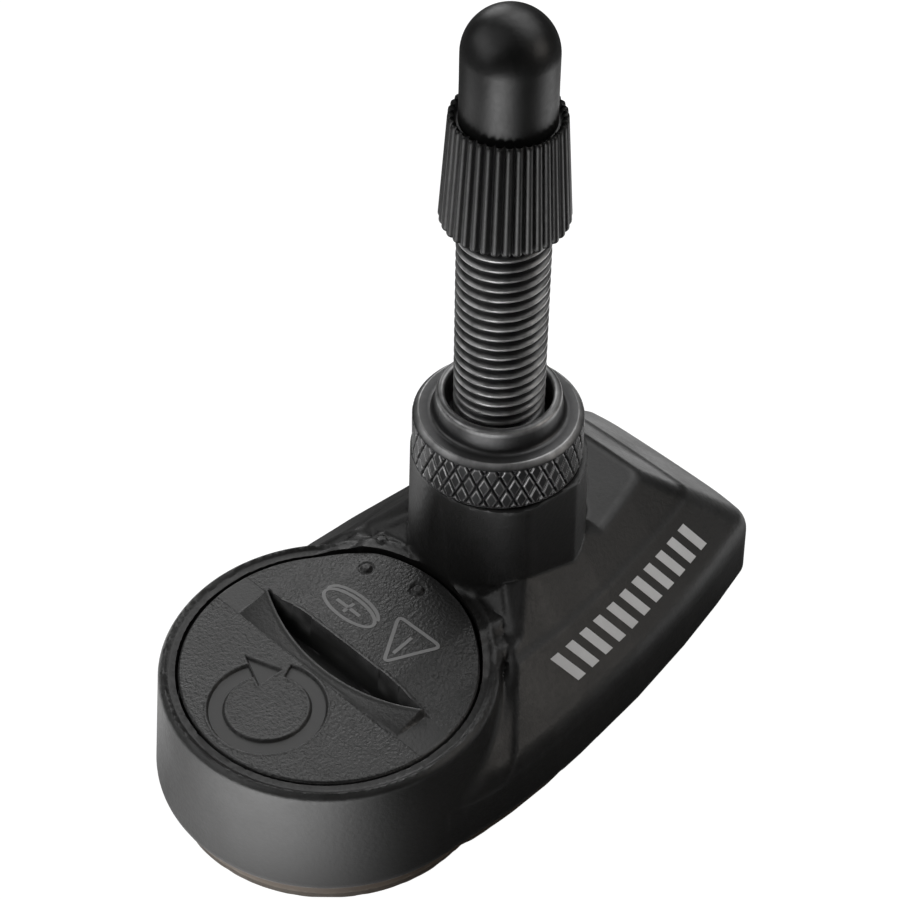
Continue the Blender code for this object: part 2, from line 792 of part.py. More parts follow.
def make_battery_cover(material):
    axis = (BATTERY_X, 0.0)
    cover = turned(
        "battery_cover",
        [
            (PLUG_OUTER, PLUG_BOTTOM),
            (PLUG_OUTER, COVER_UNDERSIDE),
            (COVER_RADIUS, COVER_UNDERSIDE + STEP),
            (COVER_RADIUS, DECK_TOP),
        ],
        axis,
        COVER_SEGMENTS,
        material,
    )
    low, high = COVER_HOLLOW_BOTTOM, COVER_UNDERSIDE + COVER_HOLLOW_HEIGHT
    cut(cover, cylinder("cover_hollow", PLUG_INNER, low, high, axis, COVER_SEGMENTS))
    lugs = [
        wedge(
            f"cover_lug_{i}",
            PLUG_OUTER - LUG_ROOT,
            LUG_RADIUS,
            a,
            LUG_HALF_ANGLE,
            LUG_BOTTOM,
            LUG_TOP,
        )
        for i, a in enumerate(lug_angles())
    ]
    unite(cover, *lugs)
    front = box(
        "cover_front",
        (BATTERY_X - COVER_CUT_REACH, -COVER_CUT_REACH, RIM_TOP),
        (PLATEAU_EDGE_X, COVER_CUT_REACH, DECK_TOP + CLEAR),
    )
    slopes = []
    for side in (-1, 1):
        profile = [
            (side * PLATEAU_HALF, DECK_TOP + SHOULDER_TOP_GAP),
            (side * SHOULDER_HALF, RIM_TOP + SHOULDER_LOW_GAP),
            (side * COVER_CUT_REACH, RIM_TOP + SHOULDER_LOW_GAP),
            (side * COVER_CUT_REACH, DECK_TOP + CLEAR),
            (side * PLATEAU_HALF, DECK_TOP + CLEAR),
        ]
        ends = (PLATEAU_EDGE_X - SHOULDER_OVERLAP, STEM_X)
        rings = [[(x, y, z) for y, z in profile] for x in (ends if side > 0 else ends[::-1])]
        slopes.append(loft(f"cover_shoulder_{(side + 1) // 2}", rings))
    slot_points = []
    for i in range(SLOT_STEPS + 1):
        share = 2 * i / SLOT_STEPS - 1
        bulge = SLOT_WIDTH * (1 - share * share)
        slot_points.append((SLOT_CHORD_X - bulge, -share * SLOT_HALF))
    slot = prism("coin_slot", slot_points, SLOT_FLOOR, DECK_TOP + CLEAR)
    cut(cover, front, *slopes, slot)
    return cover


def make_coin_cell(material):
    top = CELL_BOTTOM + CELL_HEIGHT
    profile = [
        (CELL_RADIUS - CELL_CAN_INSET, CELL_BOTTOM),
        (CELL_RADIUS - CELL_CAN_INSET + CELL_CAN_LEAN, CELL_BOTTOM + CELL_RIM_STEP),
        (CELL_RADIUS, CELL_BOTTOM + CELL_RIM_STEP + CELL_LIP),
        (CELL_RADIUS, top - CELL_EDGE),
        (CELL_RADIUS - CELL_EDGE, top),
    ]
    return turned("coin_cell", profile, (BATTERY_X, 0.0), COVER_SEGMENTS, material)


def strip(name, path, thick, half_width, material):
    """A bent metal strip: a path in the XZ plane, thickened and given a width along Y."""
    upper, lower = [], []
    for i, point in enumerate(path):
        before = Vector(path[max(i - 1, 0)])
        after = Vector(path[min(i + 1, len(path) - 1)])
        along = (after - before).normalized()
        off = Vector((-along.y, along.x)) * thick / 2
        upper.append(Vector(point) + off)
        lower.append(Vector(point) - off)
    outline = lower + upper[::-1]
    rings = [[(p.x, y, p.y) for p in outline] for y in (half_width, -half_width)]
    return loft(name, rings, material)


def make_contacts(material):
    floor = BOARD_TOP + CONTACT_LIFT
    touch = CELL_BOTTOM - NEGATIVE_TOUCH_DROP
    strip(
        "battery_negative_contact",
        [
            (NEGATIVE_START, floor),
            (NEGATIVE_START + NEGATIVE_FLAT, floor),
            (NEGATIVE_START + NEGATIVE_TOUCH[0], touch),
            (NEGATIVE_START + NEGATIVE_TOUCH[1], touch),
            (NEGATIVE_START + NEGATIVE_TIP, CELL_BOTTOM - NEGATIVE_TIP_DROP),
        ],
        CONTACT_THICK,
        CONTACT_HALF,
        material,
    )
    strip(
        "battery_positive_contact",
        [
            (POSITIVE_START, floor),
            (POSITIVE_OUTER, floor),
            (POSITIVE_OUTER - POSITIVE_LEAN, floor + POSITIVE_RISE),
            (POSITIVE_TIP, CELL_BOTTOM + POSITIVE_TIP_RISE),
        ],
        CONTACT_THICK,
        CONTACT_HALF,
        material,
    )


# ---------------------------------------------------------------- board


def board_outline():
    """A round end under the cell, a neck round the stem and a narrow tip in the wing."""
    start = math.asin(BOARD_HALF / BOARD_ROUND)
    outline = []
    for i in range(BOARD_ROUND_STEPS + 1):
        a = start + (TAU - 2 * start) * i / BOARD_ROUND_STEPS
        outline.append((BATTERY_X + BOARD_ROUND * math.cos(a), BOARD_ROUND * math.sin(a)))
    half = [
        (BOARD_SHOULDER_X, BOARD_HALF),
        (BOARD_NECK_X, BOARD_TIP_HALF),
        (BOARD_TIP_X, BOARD_TIP_HALF),
    ]
    return outline + [(x, -y) for x, y in half] + list(reversed(half))


def component(name, corners, material):
    """A plain block on the board, from its corners measured from the tip and the board's top."""
    start = Vector((TIP_X, 0.0, BOARD_TOP + PART_GAP))
    box(name, start + Vector(corners[0]), start + Vector(corners[1]), material)


def make_board(materials):
    board = prism("circuit_board", board_outline(), BOARD_BOTTOM, BOARD_TOP, materials["board"])
    low, high = BOARD_CUT_BOTTOM, BOARD_CUT_TOP
    cut(board, cylinder("board_hole", BOARD_HOLE, low, high, (STEM_X, 0.0)))
    for side in (-1, 1):
        x, y = BOARD_SCREW_PLACE
        name = f"board_screw_hole_{(side + 1) // 2}"
        radius = BOARD_SCREW_SHANK + FIT_GAP
        cut(board, cylinder(name, radius, low, high, (x, side * y), HOLE_SEGMENTS))
    component("radio_chip", CHIP_BOX, materials["chip"])
    component("crystal", CRYSTAL_BOX, materials["bright"])
    component("board_capacitor", CAPACITOR_BOX, materials["ceramic"])
    foot = BOARD_TOP + PART_GAP + ANTENNA_LIFT
    strip(
        "antenna",
        [
            (TIP_X + ANTENNA_FOOT[0], foot),
            (TIP_X + ANTENNA_FOOT[1], foot),
            (TIP_X + ANTENNA_BEND[0], ANTENNA_BEND[1]),
            (TIP_X + ANTENNA_END[0], ANTENNA_END[1]),
        ],
        ANTENNA_THICK,
        ANTENNA_HALF,
        materials["bright"],
    )


def make_sensor(materials):
    axis = (SENSOR_X, 0.0)
    low = BOARD_TOP + PART_GAP
    profile = [
        (SENSOR_RADIUS, low),
        (SENSOR_RADIUS, low + SENSOR_HEIGHT),
        (SENSOR_NOZZLE_RADIUS, low + SENSOR_HEIGHT + PART_GAP),
        (SENSOR_NOZZLE_RADIUS, SENSOR_NOZZLE_TOP),
    ]
    turned("pressure_sensor", profile, axis, SMALL_SEGMENTS, materials["bright"])
    seal_low = low + SENSOR_SEAL_LIFT
    seal = [
        (SENSOR_SEAL_OUTER, seal_low),
        (SENSOR_SEAL_OUTER, SENSOR_SEAL_TOP),
        (SENSOR_SEAL_INNER, SENSOR_SEAL_TOP),
        (SENSOR_SEAL_INNER, seal_low),
    ]
    turned_tube("sensor_seal", seal, axis, SMALL_SEGMENTS, materials["rubber"])


# ---------------------------------------------------------------- base


def screw(name, place, head_radius, shank_radius, heights, material, depth):
    """A pan-head screw pointing up, with a cross recess in its head."""
    head_bottom, head_top, tip = heights
    profile = [
        (head_radius * SCREW_EDGE_SHARE, head_bottom),
        (head_radius, head_bottom + SCREW_EDGE_HEIGHT),
        (head_radius, head_top),
        (shank_radius, head_top + SCREW_NECK),
        (shank_radius, tip - SCREW_POINT_LENGTH),
        (shank_radius * SCREW_POINT_SHARE, tip),
    ]
    body = turned(name, profile, place, SCREW_SEGMENTS, material)
    long, wide = head_radius * RECESS_SHARE, RECESS_HALF_WIDTH
    floor = head_bottom + depth
    x, y = place
    bars = []
    for tag, (dx, dy) in (("a", (long, wide)), ("b", (wide, long))):
        low = (x - dx, y - dy, head_bottom - RECESS_START)
        high = (x + dx, y + dy, floor)
        bars.append(box(f"{name}_recess_{tag}", low, high))
    cut(body, *bars)
    return body


def make_base(materials):
    plate = prism("base_plate", body_outline(BASE_INSET), PLATE_BOTTOM, BASE_TOP, materials["base"])
    spigot = prism("base_spigot", body_outline(SPIGOT_OUTER), BASE_TOP - SPIGOT_OVERLAP, SPIGOT_TOP)
    unite(plate, spigot)
    inside = body_outline(SPIGOT_OUTER + SPIGOT_WALL)
    cut(plate, prism("base_tray", inside, PLATE_FLOOR_TOP, SPIGOT_TOP + CLEAR))
    cut(plate, cylinder("plate_stem_hole", STEM_HOLE, -CLEAR, PLATE_CUT_TOP, (STEM_X, 0.0)))
    number = 0
    for x, y in BOSS_PLACES:
        for side in (-1, 1):
            number += 1
            place = (x, side * y)
            head_hole = cylinder(
                f"plate_head_hole_{number}",
                BASE_SCREW_HEAD + FIT_GAP,
                -CLEAR,
                PLATE_HEAD_HOLE_TOP,
                place,
                SCREW_SEGMENTS,
            )
            shank_hole = cylinder(
                f"plate_shank_hole_{number}",
                BASE_SCREW_SHANK + FIT_GAP,
                0.0,
                PLATE_CUT_TOP,
                place,
                HOLE_SEGMENTS,
            )
            cut(plate, head_hole, shank_hole)
            screw(
                f"base_screw_{number}",
                place,
                BASE_SCREW_HEAD,
                BASE_SCREW_SHANK,
                (BASE_SCREW_HEAD_BOTTOM, BASE_SCREW_HEAD_TOP, BASE_SCREW_TIP),
                materials["bright"],
                BASE_RECESS_DEPTH,
            )
    gasket = prism("base_gasket", body_outline(GASKET_INSET), 0.0, GASKET_TOP, materials["rubber"])
    cut(gasket, cylinder("gasket_hole", GASKET_HOLE, -CLEAR, GASKET_CUT_TOP, (STEM_X, 0.0)))
    for i, side in enumerate((-1, 1)):
        x, y = BOARD_SCREW_PLACE
        screw(
            f"board_screw_{i + 1}",
            (x, side * y),
            BOARD_SCREW_HEAD,
            BOARD_SCREW_SHANK,
            (BOARD_SCREW_HEAD_BOTTOM, BOARD_SCREW_HEAD_TOP, BOARD_SCREW_TIP),
            materials["bright"],
            BOARD_RECESS_DEPTH,
        )


# ---------------------------------------------------------------- stem, ring, cap


def make_stem(materials):
    axis = (STEM_X, 0.0)
    outer = [(FOOT_RADIUS, FOOT_BOTTOM), (FOOT_RADIUS, FOOT_TOP), (STEM_RADIUS, FOOT_TOP + STEP)]
    outer.append((STEM_RADIUS, THREAD_START))
    for turn in range(THREAD_TURNS):
        z = THREAD_START + turn * THREAD_PITCH
        outer.append((STEM_RADIUS - THREAD_DEPTH, z + THREAD_PITCH / 2))
        outer.append((STEM_RADIUS, z + THREAD_PITCH))
    outer += [(STEM_RADIUS, STEM_TOP - STEM_CHAMFER), (STEM_RADIUS - STEM_CHAMFER, STEM_TOP)]
    inner = [
        (CORE_BORE, STEM_TOP),
        (CORE_BORE, CORE_SEAT),
        (AIR_BORE, CORE_SEAT - STEP),
        (AIR_BORE, SOCKET_TOP + STEP),
        (SOCKET_RADIUS, SOCKET_TOP),
        (SOCKET_RADIUS, FOOT_BOTTOM),
    ]
    stem = turned_tube("valve_stem", outer + inner, axis, STEM_SEGMENTS, materials["stem"])
    port = box(
        "stem_port",
        (STEM_X, -PORT_RADIUS, PORT_HEIGHT - PORT_RADIUS),
        (STEM_X + PORT_LENGTH, PORT_RADIUS, PORT_HEIGHT + PORT_RADIUS),
    )
    cut(stem, port)
    for name, height in SEAL_HEIGHTS.items():
        torus(name, SEAL_RADIUS, SEAL_THICK, height, axis, materials["rubber"])
    seal = [
        (WHEEL_SEAL_OUTER, WHEEL_SEAL_BOTTOM),
        (WHEEL_SEAL_OUTER, WHEEL_SEAL_TOP),
        (WHEEL_SEAL_INNER, WHEEL_SEAL_TOP),
        (WHEEL_SEAL_INNER, WHEEL_SEAL_BOTTOM),
    ]
    turned_tube("wheel_valve_seal", seal, axis, SMALL_SEGMENTS, materials["rubber"])


def knurled(count, radius, depth, height, phase, axis):
    """One row of a diamond knurl: every other point stands out."""
    row = []
    for i in range(count * 2):
        reach = radius if (i + phase) % 2 else radius - depth
        a = TAU * i / (count * 2)
        row.append((axis[0] + reach * math.cos(a), axis[1] + reach * math.sin(a), height))
    return row


def make_lock_ring(material):
    axis = (STEM_X, 0.0)
    start = RING_BOTTOM + RING_KNURL_LEAD
    loops = []
    for row in range(RING_ROWS):
        z = start + (RING_KNURL_TOP - start) * row / (RING_ROWS - 1)
        loops.append(knurled(RING_COUNT, RING_RADIUS, RING_KNURL_DEPTH, z, row, axis))
    plain = [
        (RING_FACE_RADIUS, RING_FACE),
        (COLLAR_BASE_RADIUS, RING_FACE + STEP),
        (COLLAR_BASE_RADIUS - COLLAR_LEAN, COLLAR_TOP - COLLAR_EDGE_DROP),
        (COLLAR_TOP_RADIUS - COLLAR_EDGE_IN, COLLAR_TOP),
        (RING_MOUTH, COLLAR_TOP),
        (RING_MOUTH, RING_MOUTH_BOTTOM),
        (RING_BORE, RING_MOUTH_BOTTOM - RING_MOUTH_CONE),
        (RING_BORE, RING_BOTTOM),
        (RING_RADIUS - RING_UNDERCUT, RING_BOTTOM),
    ]
    segments = RING_COUNT * 2
    loops += [circle(radius, z, axis, segments) for radius, z in plain]
    return closed_skin("lock_ring", loops, material, (STEM_X, 0.0, 0.0))


def fluted(count, radius, depth, height, axis):
    row = []
    for i in range(count * 2):
        reach = radius - depth * (i % 2)
        a = TAU * i / (count * 2)
        row.append((axis[0] + reach * math.cos(a), axis[1] + reach * math.sin(a), height))
    return row


def make_cap(material):
    axis = (STEM_X, 0.0)
    segments = CAP_FLUTES * 2
    loops = [
        fluted(CAP_FLUTES, CAP_BOTTOM_RADIUS - CAP_LEAD_IN, CAP_LEAD_DEPTH, CAP_BOTTOM, axis),
        fluted(CAP_FLUTES, CAP_BOTTOM_RADIUS, CAP_FLUTE_DEPTH, CAP_BOTTOM + CAP_LEAD_HEIGHT, axis),
        fluted(CAP_FLUTES, CAP_TOP_RADIUS, CAP_FLUTE_DEPTH, CAP_SKIRT_TOP, axis),
    ]
    plain = [(DOME_RADIUS, CAP_SKIRT_TOP - DOME_FOOT_SINK)]
    for i in range(DOME_STEPS):
        a = math.pi / 2 * i / DOME_STEPS
        plain.append((DOME_RADIUS * math.cos(a), DOME_CENTRE + DOME_RADIUS * math.sin(a)))
    plain.append((DOME_TIP_RADIUS, DOME_CENTRE + DOME_RADIUS - STEP))
    loops += [circle(radius, z, axis, segments) for radius, z in plain]
    outer = loft("valve_cap", loops, material, (STEM_X, 0.0, 0.0))
    hollow = turned(
        "cap_hollow",
        [
            (CAP_BORE, CAP_BOTTOM - CLEAR),
            (CAP_BORE, CAP_BORE_TOP),
            (CAP_HOLLOW, CAP_BORE_TOP + CAP_HOLLOW_CONE),
            (CAP_HOLLOW, CAP_HOLLOW_TOP - CAP_HOLLOW_ROUND),
            (CAP_HOLLOW * CAP_HOLLOW_TIP_SHARE, CAP_HOLLOW_TOP),
        ],
        axis,
        CAP_HOLLOW_SEGMENTS,
    )
    cut(outer, hollow)
    return outer


def make_core_spring(material):
    coil = bpy.data.curves.new("core_spring", "CURVE")
    coil.dimensions = "3D"
    coil.bevel_depth = SPRING_WIRE_RADIUS * MM
    coil.bevel_resolution = 0
    coil.use_fill_caps = True
    count = SPRING_TURNS * SPRING_STEPS + 1
    radius = SPRING_RADIUS * MM
    line = coil.splines.new("POLY")
    line.points.add(count - 1)
    for i in range(count):
        a = TAU * i / SPRING_STEPS
        z = SPRING_BOTTOM + (SPRING_TOP - SPRING_BOTTOM) * i / (count - 1)
        line.points[i].co = (radius * math.cos(a), radius * math.sin(a), z * MM, 1.0)
    coil.materials.append(material)
    spring = bpy.data.objects.new("core_spring", coil)
    spring.location = (STEM_X * MM, 0.0, 0.0)
    bpy.context.scene.collection.objects.link(spring)


def make_core(materials):
    axis = (STEM_X, 0.0)
    brass = materials["brass"]
    turned_tube("core_body", CORE_BODY_PROFILE, axis, SCREW_SEGMENTS, brass)
    turned("core_pin", CORE_PIN_PROFILE, axis, PIN_SEGMENTS, brass)
    turned_tube("core_seal", CORE_SEAL_PROFILE, axis, SMALL_SEGMENTS, materials["rubber"])
    segments = LOCK_NUT_FLUTES * 2
    loops = [fluted(LOCK_NUT_FLUTES, r, LOCK_NUT_FLUTE_DEPTH, z, axis) for r, z in LOCK_NUT_LEVELS]
    top_radius, top = LOCK_NUT_TOP
    loops.append(circle(top_radius, top, axis, segments))
    loops += [circle(LOCK_NUT_BORE, z, axis, segments) for z in (top, LOCK_NUT_BOTTOM)]
    closed_skin("core_lock_nut", loops, brass, (STEM_X, 0.0, 0.0))
    make_core_spring(materials["bright"])


def main():
    clear_scene()
    axis = (BATTERY_X, 0.0)
    materials = {kind: principled(*values) for kind, values in MATERIALS.items()}
    make_housing(materials["housing"])
    make_battery_cover(materials["cover"])
    torus(
        "cover_seal",
        COVER_SEAL_RADIUS,
        COVER_SEAL_THICK,
        COVER_SEAL_HEIGHT,
        axis,
        materials["rubber"],
        COVER_SEGMENTS,
    )
    make_coin_cell(materials["cell"])
    make_contacts(materials["bright"])
    make_board(materials)
    make_sensor(materials)
    make_base(materials)
    make_stem(materials)
    make_lock_ring(materials["ring"])
    make_cap(materials["cap"])
    make_core(materials)


main()
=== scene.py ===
import json
import math

import bpy
import numpy as np
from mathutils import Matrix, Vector

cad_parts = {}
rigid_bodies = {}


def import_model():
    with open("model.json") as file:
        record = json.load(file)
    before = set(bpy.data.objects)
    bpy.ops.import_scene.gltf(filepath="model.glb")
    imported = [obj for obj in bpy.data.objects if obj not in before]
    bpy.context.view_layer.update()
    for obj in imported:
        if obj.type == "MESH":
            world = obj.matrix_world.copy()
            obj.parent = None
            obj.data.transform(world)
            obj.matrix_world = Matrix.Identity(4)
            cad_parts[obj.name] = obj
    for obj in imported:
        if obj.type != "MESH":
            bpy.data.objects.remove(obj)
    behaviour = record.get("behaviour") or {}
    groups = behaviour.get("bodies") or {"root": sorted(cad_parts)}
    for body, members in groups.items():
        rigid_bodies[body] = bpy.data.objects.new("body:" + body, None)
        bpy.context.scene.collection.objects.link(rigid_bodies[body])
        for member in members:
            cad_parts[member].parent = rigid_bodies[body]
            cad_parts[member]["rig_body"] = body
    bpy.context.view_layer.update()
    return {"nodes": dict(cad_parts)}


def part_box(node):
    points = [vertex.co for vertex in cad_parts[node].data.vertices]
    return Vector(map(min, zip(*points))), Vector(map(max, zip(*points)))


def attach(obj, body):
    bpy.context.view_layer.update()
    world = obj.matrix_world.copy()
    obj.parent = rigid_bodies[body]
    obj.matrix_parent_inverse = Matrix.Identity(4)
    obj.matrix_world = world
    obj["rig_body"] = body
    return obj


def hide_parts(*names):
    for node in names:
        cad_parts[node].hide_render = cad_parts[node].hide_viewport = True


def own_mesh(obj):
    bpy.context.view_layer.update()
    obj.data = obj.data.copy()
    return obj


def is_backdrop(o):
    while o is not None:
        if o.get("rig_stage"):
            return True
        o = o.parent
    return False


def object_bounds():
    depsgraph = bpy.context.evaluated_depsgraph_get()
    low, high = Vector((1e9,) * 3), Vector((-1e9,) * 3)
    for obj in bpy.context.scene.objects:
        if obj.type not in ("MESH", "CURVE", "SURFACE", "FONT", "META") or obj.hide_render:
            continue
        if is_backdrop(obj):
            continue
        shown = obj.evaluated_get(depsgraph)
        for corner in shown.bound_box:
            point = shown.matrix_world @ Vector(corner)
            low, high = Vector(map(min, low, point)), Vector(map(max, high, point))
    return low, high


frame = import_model()

MM = 0.001
TAU = 2 * math.pi

# ------------------------------------------------------------------ places, in millimetres


def box_mm(node):
    low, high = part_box(node)
    return np.array(low) / MM, np.array(high) / MM


ring_low, ring_high = box_mm("lock_ring")
cap_low, cap_high = box_mm("valve_cap")
cover_low, cover_high = box_mm("battery_cover")
housing_low, housing_high = box_mm("housing")
plate_low, plate_high = box_mm("base_plate")
gasket_low, gasket_high = box_mm("base_gasket")
stem_top = box_mm("valve_stem")[1][2]

STEM_X = (ring_low[0] + ring_high[0]) / 2
COVER_DX = (cover_low[0] + cover_high[0]) / 2 - STEM_X
WING_END = housing_high[0] - STEM_X
BOSS_TOP = housing_high[2]
HOUSING_BOTTOM = housing_low[2]

# Cover and rim
COVER_RADIUS = 9.9
COVER_BORE = 10.1
FRONT_TOP = 10.5
PLATEAU_TOP = 11.4
PLATEAU_FLAT = 4.55
SHOULDER_RUN = 3.1
SLOT_EDGE = -14.1
SLOT_HALF = 7.7
SLOT_BULGE = 2.0
CREASE_X = -16.75
SLOT_FLOOR = 8.85
ARROW_CENTRE, ARROW_RADIUS, ARROW_HALF = (-20.9, 0.15), 3.35, 0.6
ARROW_START, ARROW_SWEEP, ARROW_HEAD, ARROW_WING = 66.0, 318.0, 36.0, 1.45
ARROW_DEPTH, ARROW_BANK = 0.2, 0.03

# Round end: its wall, and the raised bead and lip on its rim
WALL_RADIUS, WALL_LEAN = 11.85, 0.075
BEAD_PLACE, BEAD_HEIGHT, BEAD_WIDTH, BEAD_SINK = 10.86, 0.2, 0.22, 0.12
LIP_PLACE, LIP_HEIGHT, LIP_WIDTH = 10.24, 0.05, 0.16

# Wing
SKIRT_TOP = 6.0
FLANK_SLOPE = 1.12
NECK_SLOPE = 1.05
END_SLOPE = 0.864
CREST_X = 10.6
CREST_TOP = 13.0
SIDE_LEAN, END_LEAN, PLAN_CORNER = 0.02, 0.03, 1.3
ROOF_SLOPE, ROOF_TURN, ROOF_RISE = 0.0947, 5.0, 0.55

# Boss
FRONT_CENTRE = 1.2
FRONT_RADIUS = 6.65
BACK_RADIUS = 6.04
CORNER = (-2.75, 5.35)
SHOULDER = (1.5, 5.85)
BOSS_FILLET = 0.7
BOSS_LEAN = 0.02

# Neck between the round end and the boss
NECK_HALF = 7.45
SHELF_START = 5.25
SHELF_DROP = 0.62
WEB_LINE = (-5.45, 2.09)
WEB_TURN = 0.128
WEB_END, WEB_END_TOP, WEB_END_LEAN = 6.3, 10.8, 0.83
LEDGE_TOP = 13.3
LEDGE_LINE, LEDGE_NORMAL = (-3.7, 4.4), (0.698, 0.716)
LEDGE_SLOPES = (0.639, 0.429)
VALLEY_RADIUS = 11.4
VALLEY_LEAN = 0.1
VALLEY_EDGE = 0.6
VALLEY_FLOOR, VALLEY_START = 9.9, -6.4
CORNER_FILLET = 0.08
HOUSING_DOT = (-5.8, 5.1)
DOTS = ((-8.3, 4.0), (-7.25, 0.1))

# Hollows in the housing
BORE_FLOOR, BAY_RADIUS, BAY_FLOOR, BAY_WALL = 7.5, 8.95, 4.0, 10.2
STEM_BORE, FOOT_BORE, FOOT_TOP = 3.1, 4.6, 5.8
SHELL_WALL, BOARD_TOP = 1.6, 4.4

# ------------------------------------------------------------------ mesh helpers


def new_piece(name, points, faces, body, material, smooth_angle=40, attributes=None):
    """A piece from points in millimetres, smooth except across edges sharper than the angle."""
    mesh = bpy.data.meshes.new(name)
    mesh.from_pydata(np.asarray(points, float) * MM, [], [tuple(f) for f in faces])
    mesh.update()
    mesh.shade_smooth()
    if smooth_angle:
        mesh.set_sharp_from_angle(angle=math.radians(smooth_angle))
    for key, values in (attributes or {}).items():
        layer = mesh.attributes.new(key, "FLOAT", "POINT")
        layer.data.foreach_set("value", np.asarray(values, np.float32))
    obj = bpy.data.objects.new(name, mesh)
    bpy.context.scene.collection.objects.link(obj)
    mesh.materials.append(material)
    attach(obj, body)
    return obj


def body_of(node):
    return frame["nodes"][node]["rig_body"]


def smooth(t):
    t = np.clip(t, 0.0, 1.0)
    return t * t * (3 - 2 * t)


def round_and(a, b, r):
    """What is inside both, with the edge between them rounded to radius r."""
    return np.minimum(np.maximum(a, b), -r) + np.hypot(np.maximum(a + r, 0), np.maximum(b + r, 0))


def round_or(a, b, r):
    """What is inside either, with a fillet of radius r between them."""
    return np.maximum(np.minimum(a, b), r) - np.hypot(np.maximum(r - a, 0), np.maximum(r - b, 0))


def gradient(field, points, reach=0.01):
    return np.stack(
        [
            field(*(points + reach * unit).T) - field(*(points - reach * unit).T)
            for unit in np.eye(3)
        ],
        1,
    ) / (2 * reach)


def surface_net(field, low, high, step):
    """A quad mesh of the surface where the field is zero; its vertices sit on sharp edges too."""
    axes = [np.arange(a - 1.5 * step, b + 2.5 * step, step) for a, b in zip(low, high)]
    start = np.array([a[0] for a in axes])
    shape = np.array([len(a) for a in axes])
    grid = np.empty(shape, np.float32)
    for i, x in enumerate(axes[0]):
        yy, zz = np.meshgrid(axes[1], axes[2], indexing="ij")
        grid[i] = field(np.full_like(yy, x), yy, zz)
    cells = shape - 1
    owners, places, faces_at = [], [], []
    for axis in range(3):
        first = [slice(None)] * 3
        second = [slice(None)] * 3
        first[axis] = slice(0, -1)
        second[axis] = slice(1, None)
        a, b = grid[tuple(first)], grid[tuple(second)]
        cross = (a < 0) != (b < 0)
        index = np.argwhere(cross)
        unit = np.eye(3)[axis]
        share = (a[cross] / (a[cross] - b[cross])).astype(float)
        place = start + (index + share[:, None] * unit) * step
        value = field(*place.T)
        ends = np.where(((a[cross] < 0) == (value < 0))[:, None], index + unit, index + 0.0)
        other = start + ends * step
        worth = field(*other.T)
        mix = np.where(np.abs(worth - value) > 1e-9, value / (value - worth + 1e-12), 0.0)
        place = place + np.clip(mix, 0, 1)[:, None] * (other - place)
        u, v = [(1, 2), (2, 0), (0, 1)][axis]
        around = []
        for du, dv in ((1, 1), (0, 1), (0, 0), (1, 0)):
            cell = index.copy()
            cell[:, u] -= du
            cell[:, v] -= dv
            around.append(np.ravel_multi_index(tuple(cell.T), cells))
        around = np.stack(around, 1)
        turned = a[cross] < 0
        around[~turned] = around[~turned][:, ::-1]
        faces_at.append(around)
        owners.append(around.reshape(-1))
        places.append(np.repeat(place, 4, 0))
    owners = np.concatenate(owners)
    places = np.concatenate(places)
    quads = np.concatenate(faces_at)
    every = places[::4]
    slope = gradient(field, every)
    slope = slope / np.maximum(np.linalg.norm(slope, axis=1, keepdims=True), 1e-6)
    normals = np.repeat(slope, 4, 0)
    used, owner = np.unique(owners, return_inverse=True)
    count = np.bincount(owner)
    middle = np.stack([np.bincount(owner, places[:, k]) for k in range(3)], 1) / count[:, None]
    away = places - middle[owner]
    distance = (normals * away).sum(1)
    left = np.empty((len(used), 3, 3))
    right = np.empty((len(used), 3))
    for i in range(3):
        right[:, i] = np.bincount(owner, normals[:, i] * distance)
        for j in range(3):
            left[:, i, j] = np.bincount(owner, normals[:, i] * normals[:, j])
    left += np.eye(3) * 0.04
    shift = np.linalg.solve(left, right[..., None])[..., 0]
    size = np.maximum(np.linalg.norm(shift, axis=1, keepdims=True), 1e-9)
    points = middle + shift * np.minimum(1.0, 0.9 * step / size)
    faces = np.searchsorted(used, quads)
    return points, faces


def edge_strength(field, points, reach=0.22):
    """How strongly the surface bends at each point: 1 on an edge, 0 on a flat, -1 in a crease."""
    value = field(*points.T)
    total = sum(
        field(*(points + reach * unit).T) + field(*(points - reach * unit).T) - 2 * value
        for unit in np.eye(3)
    )
    return np.clip(total / reach**2 * 0.35, -1, 1)


def tube_faces(rows, count, closed=False):
    """Quads that skin rows of count points; each row runs anticlockwise, from top to bottom."""
    faces = []
    last = rows if closed else rows - 1
    for r in range(last):
        base, below = r * count, ((r + 1) % rows) * count
        for i in range(count):
            j = (i + 1) % count
            faces.append((base + i, below + i, below + j, base + j))
    return faces


class Turning:
    """Rings of points about the stem's axis, listed in order along the profile."""

    def __init__(self, count):
        self.count = count
        self.angle = TAU * np.arange(count) / count
        self.rows, self.edge = [], []

    def add(self, radius, z, worn=0.0):
        radius, z, worn = (np.broadcast_to(v, (self.count,)) for v in (radius, z, worn))
        self.rows.append(
            np.stack([radius * np.cos(self.angle), radius * np.sin(self.angle), z], 1)
        )
        self.edge.append(worn)

    def profile(self, *rows):
        for row in rows:
            self.add(*row)

    def closed(self):
        """Points, faces and edge wear of the closed profile."""
        points = np.concatenate(self.rows) + [STEM_X, 0, 0]
        faces = tube_faces(len(self.rows), self.count, closed=True)
        return points, faces, np.concatenate(self.edge)


# ------------------------------------------------------------------ shape of the housing


def dot_height(x, y, cx, cy):
    """A small round index mark: a raised button in a shallow ring."""
    far = np.hypot(x - cx, y - cy)
    return 0.17 * smooth((0.4 - far) / 0.14) - 0.09 * np.exp(-(((far - 0.48) / 0.09) ** 2))


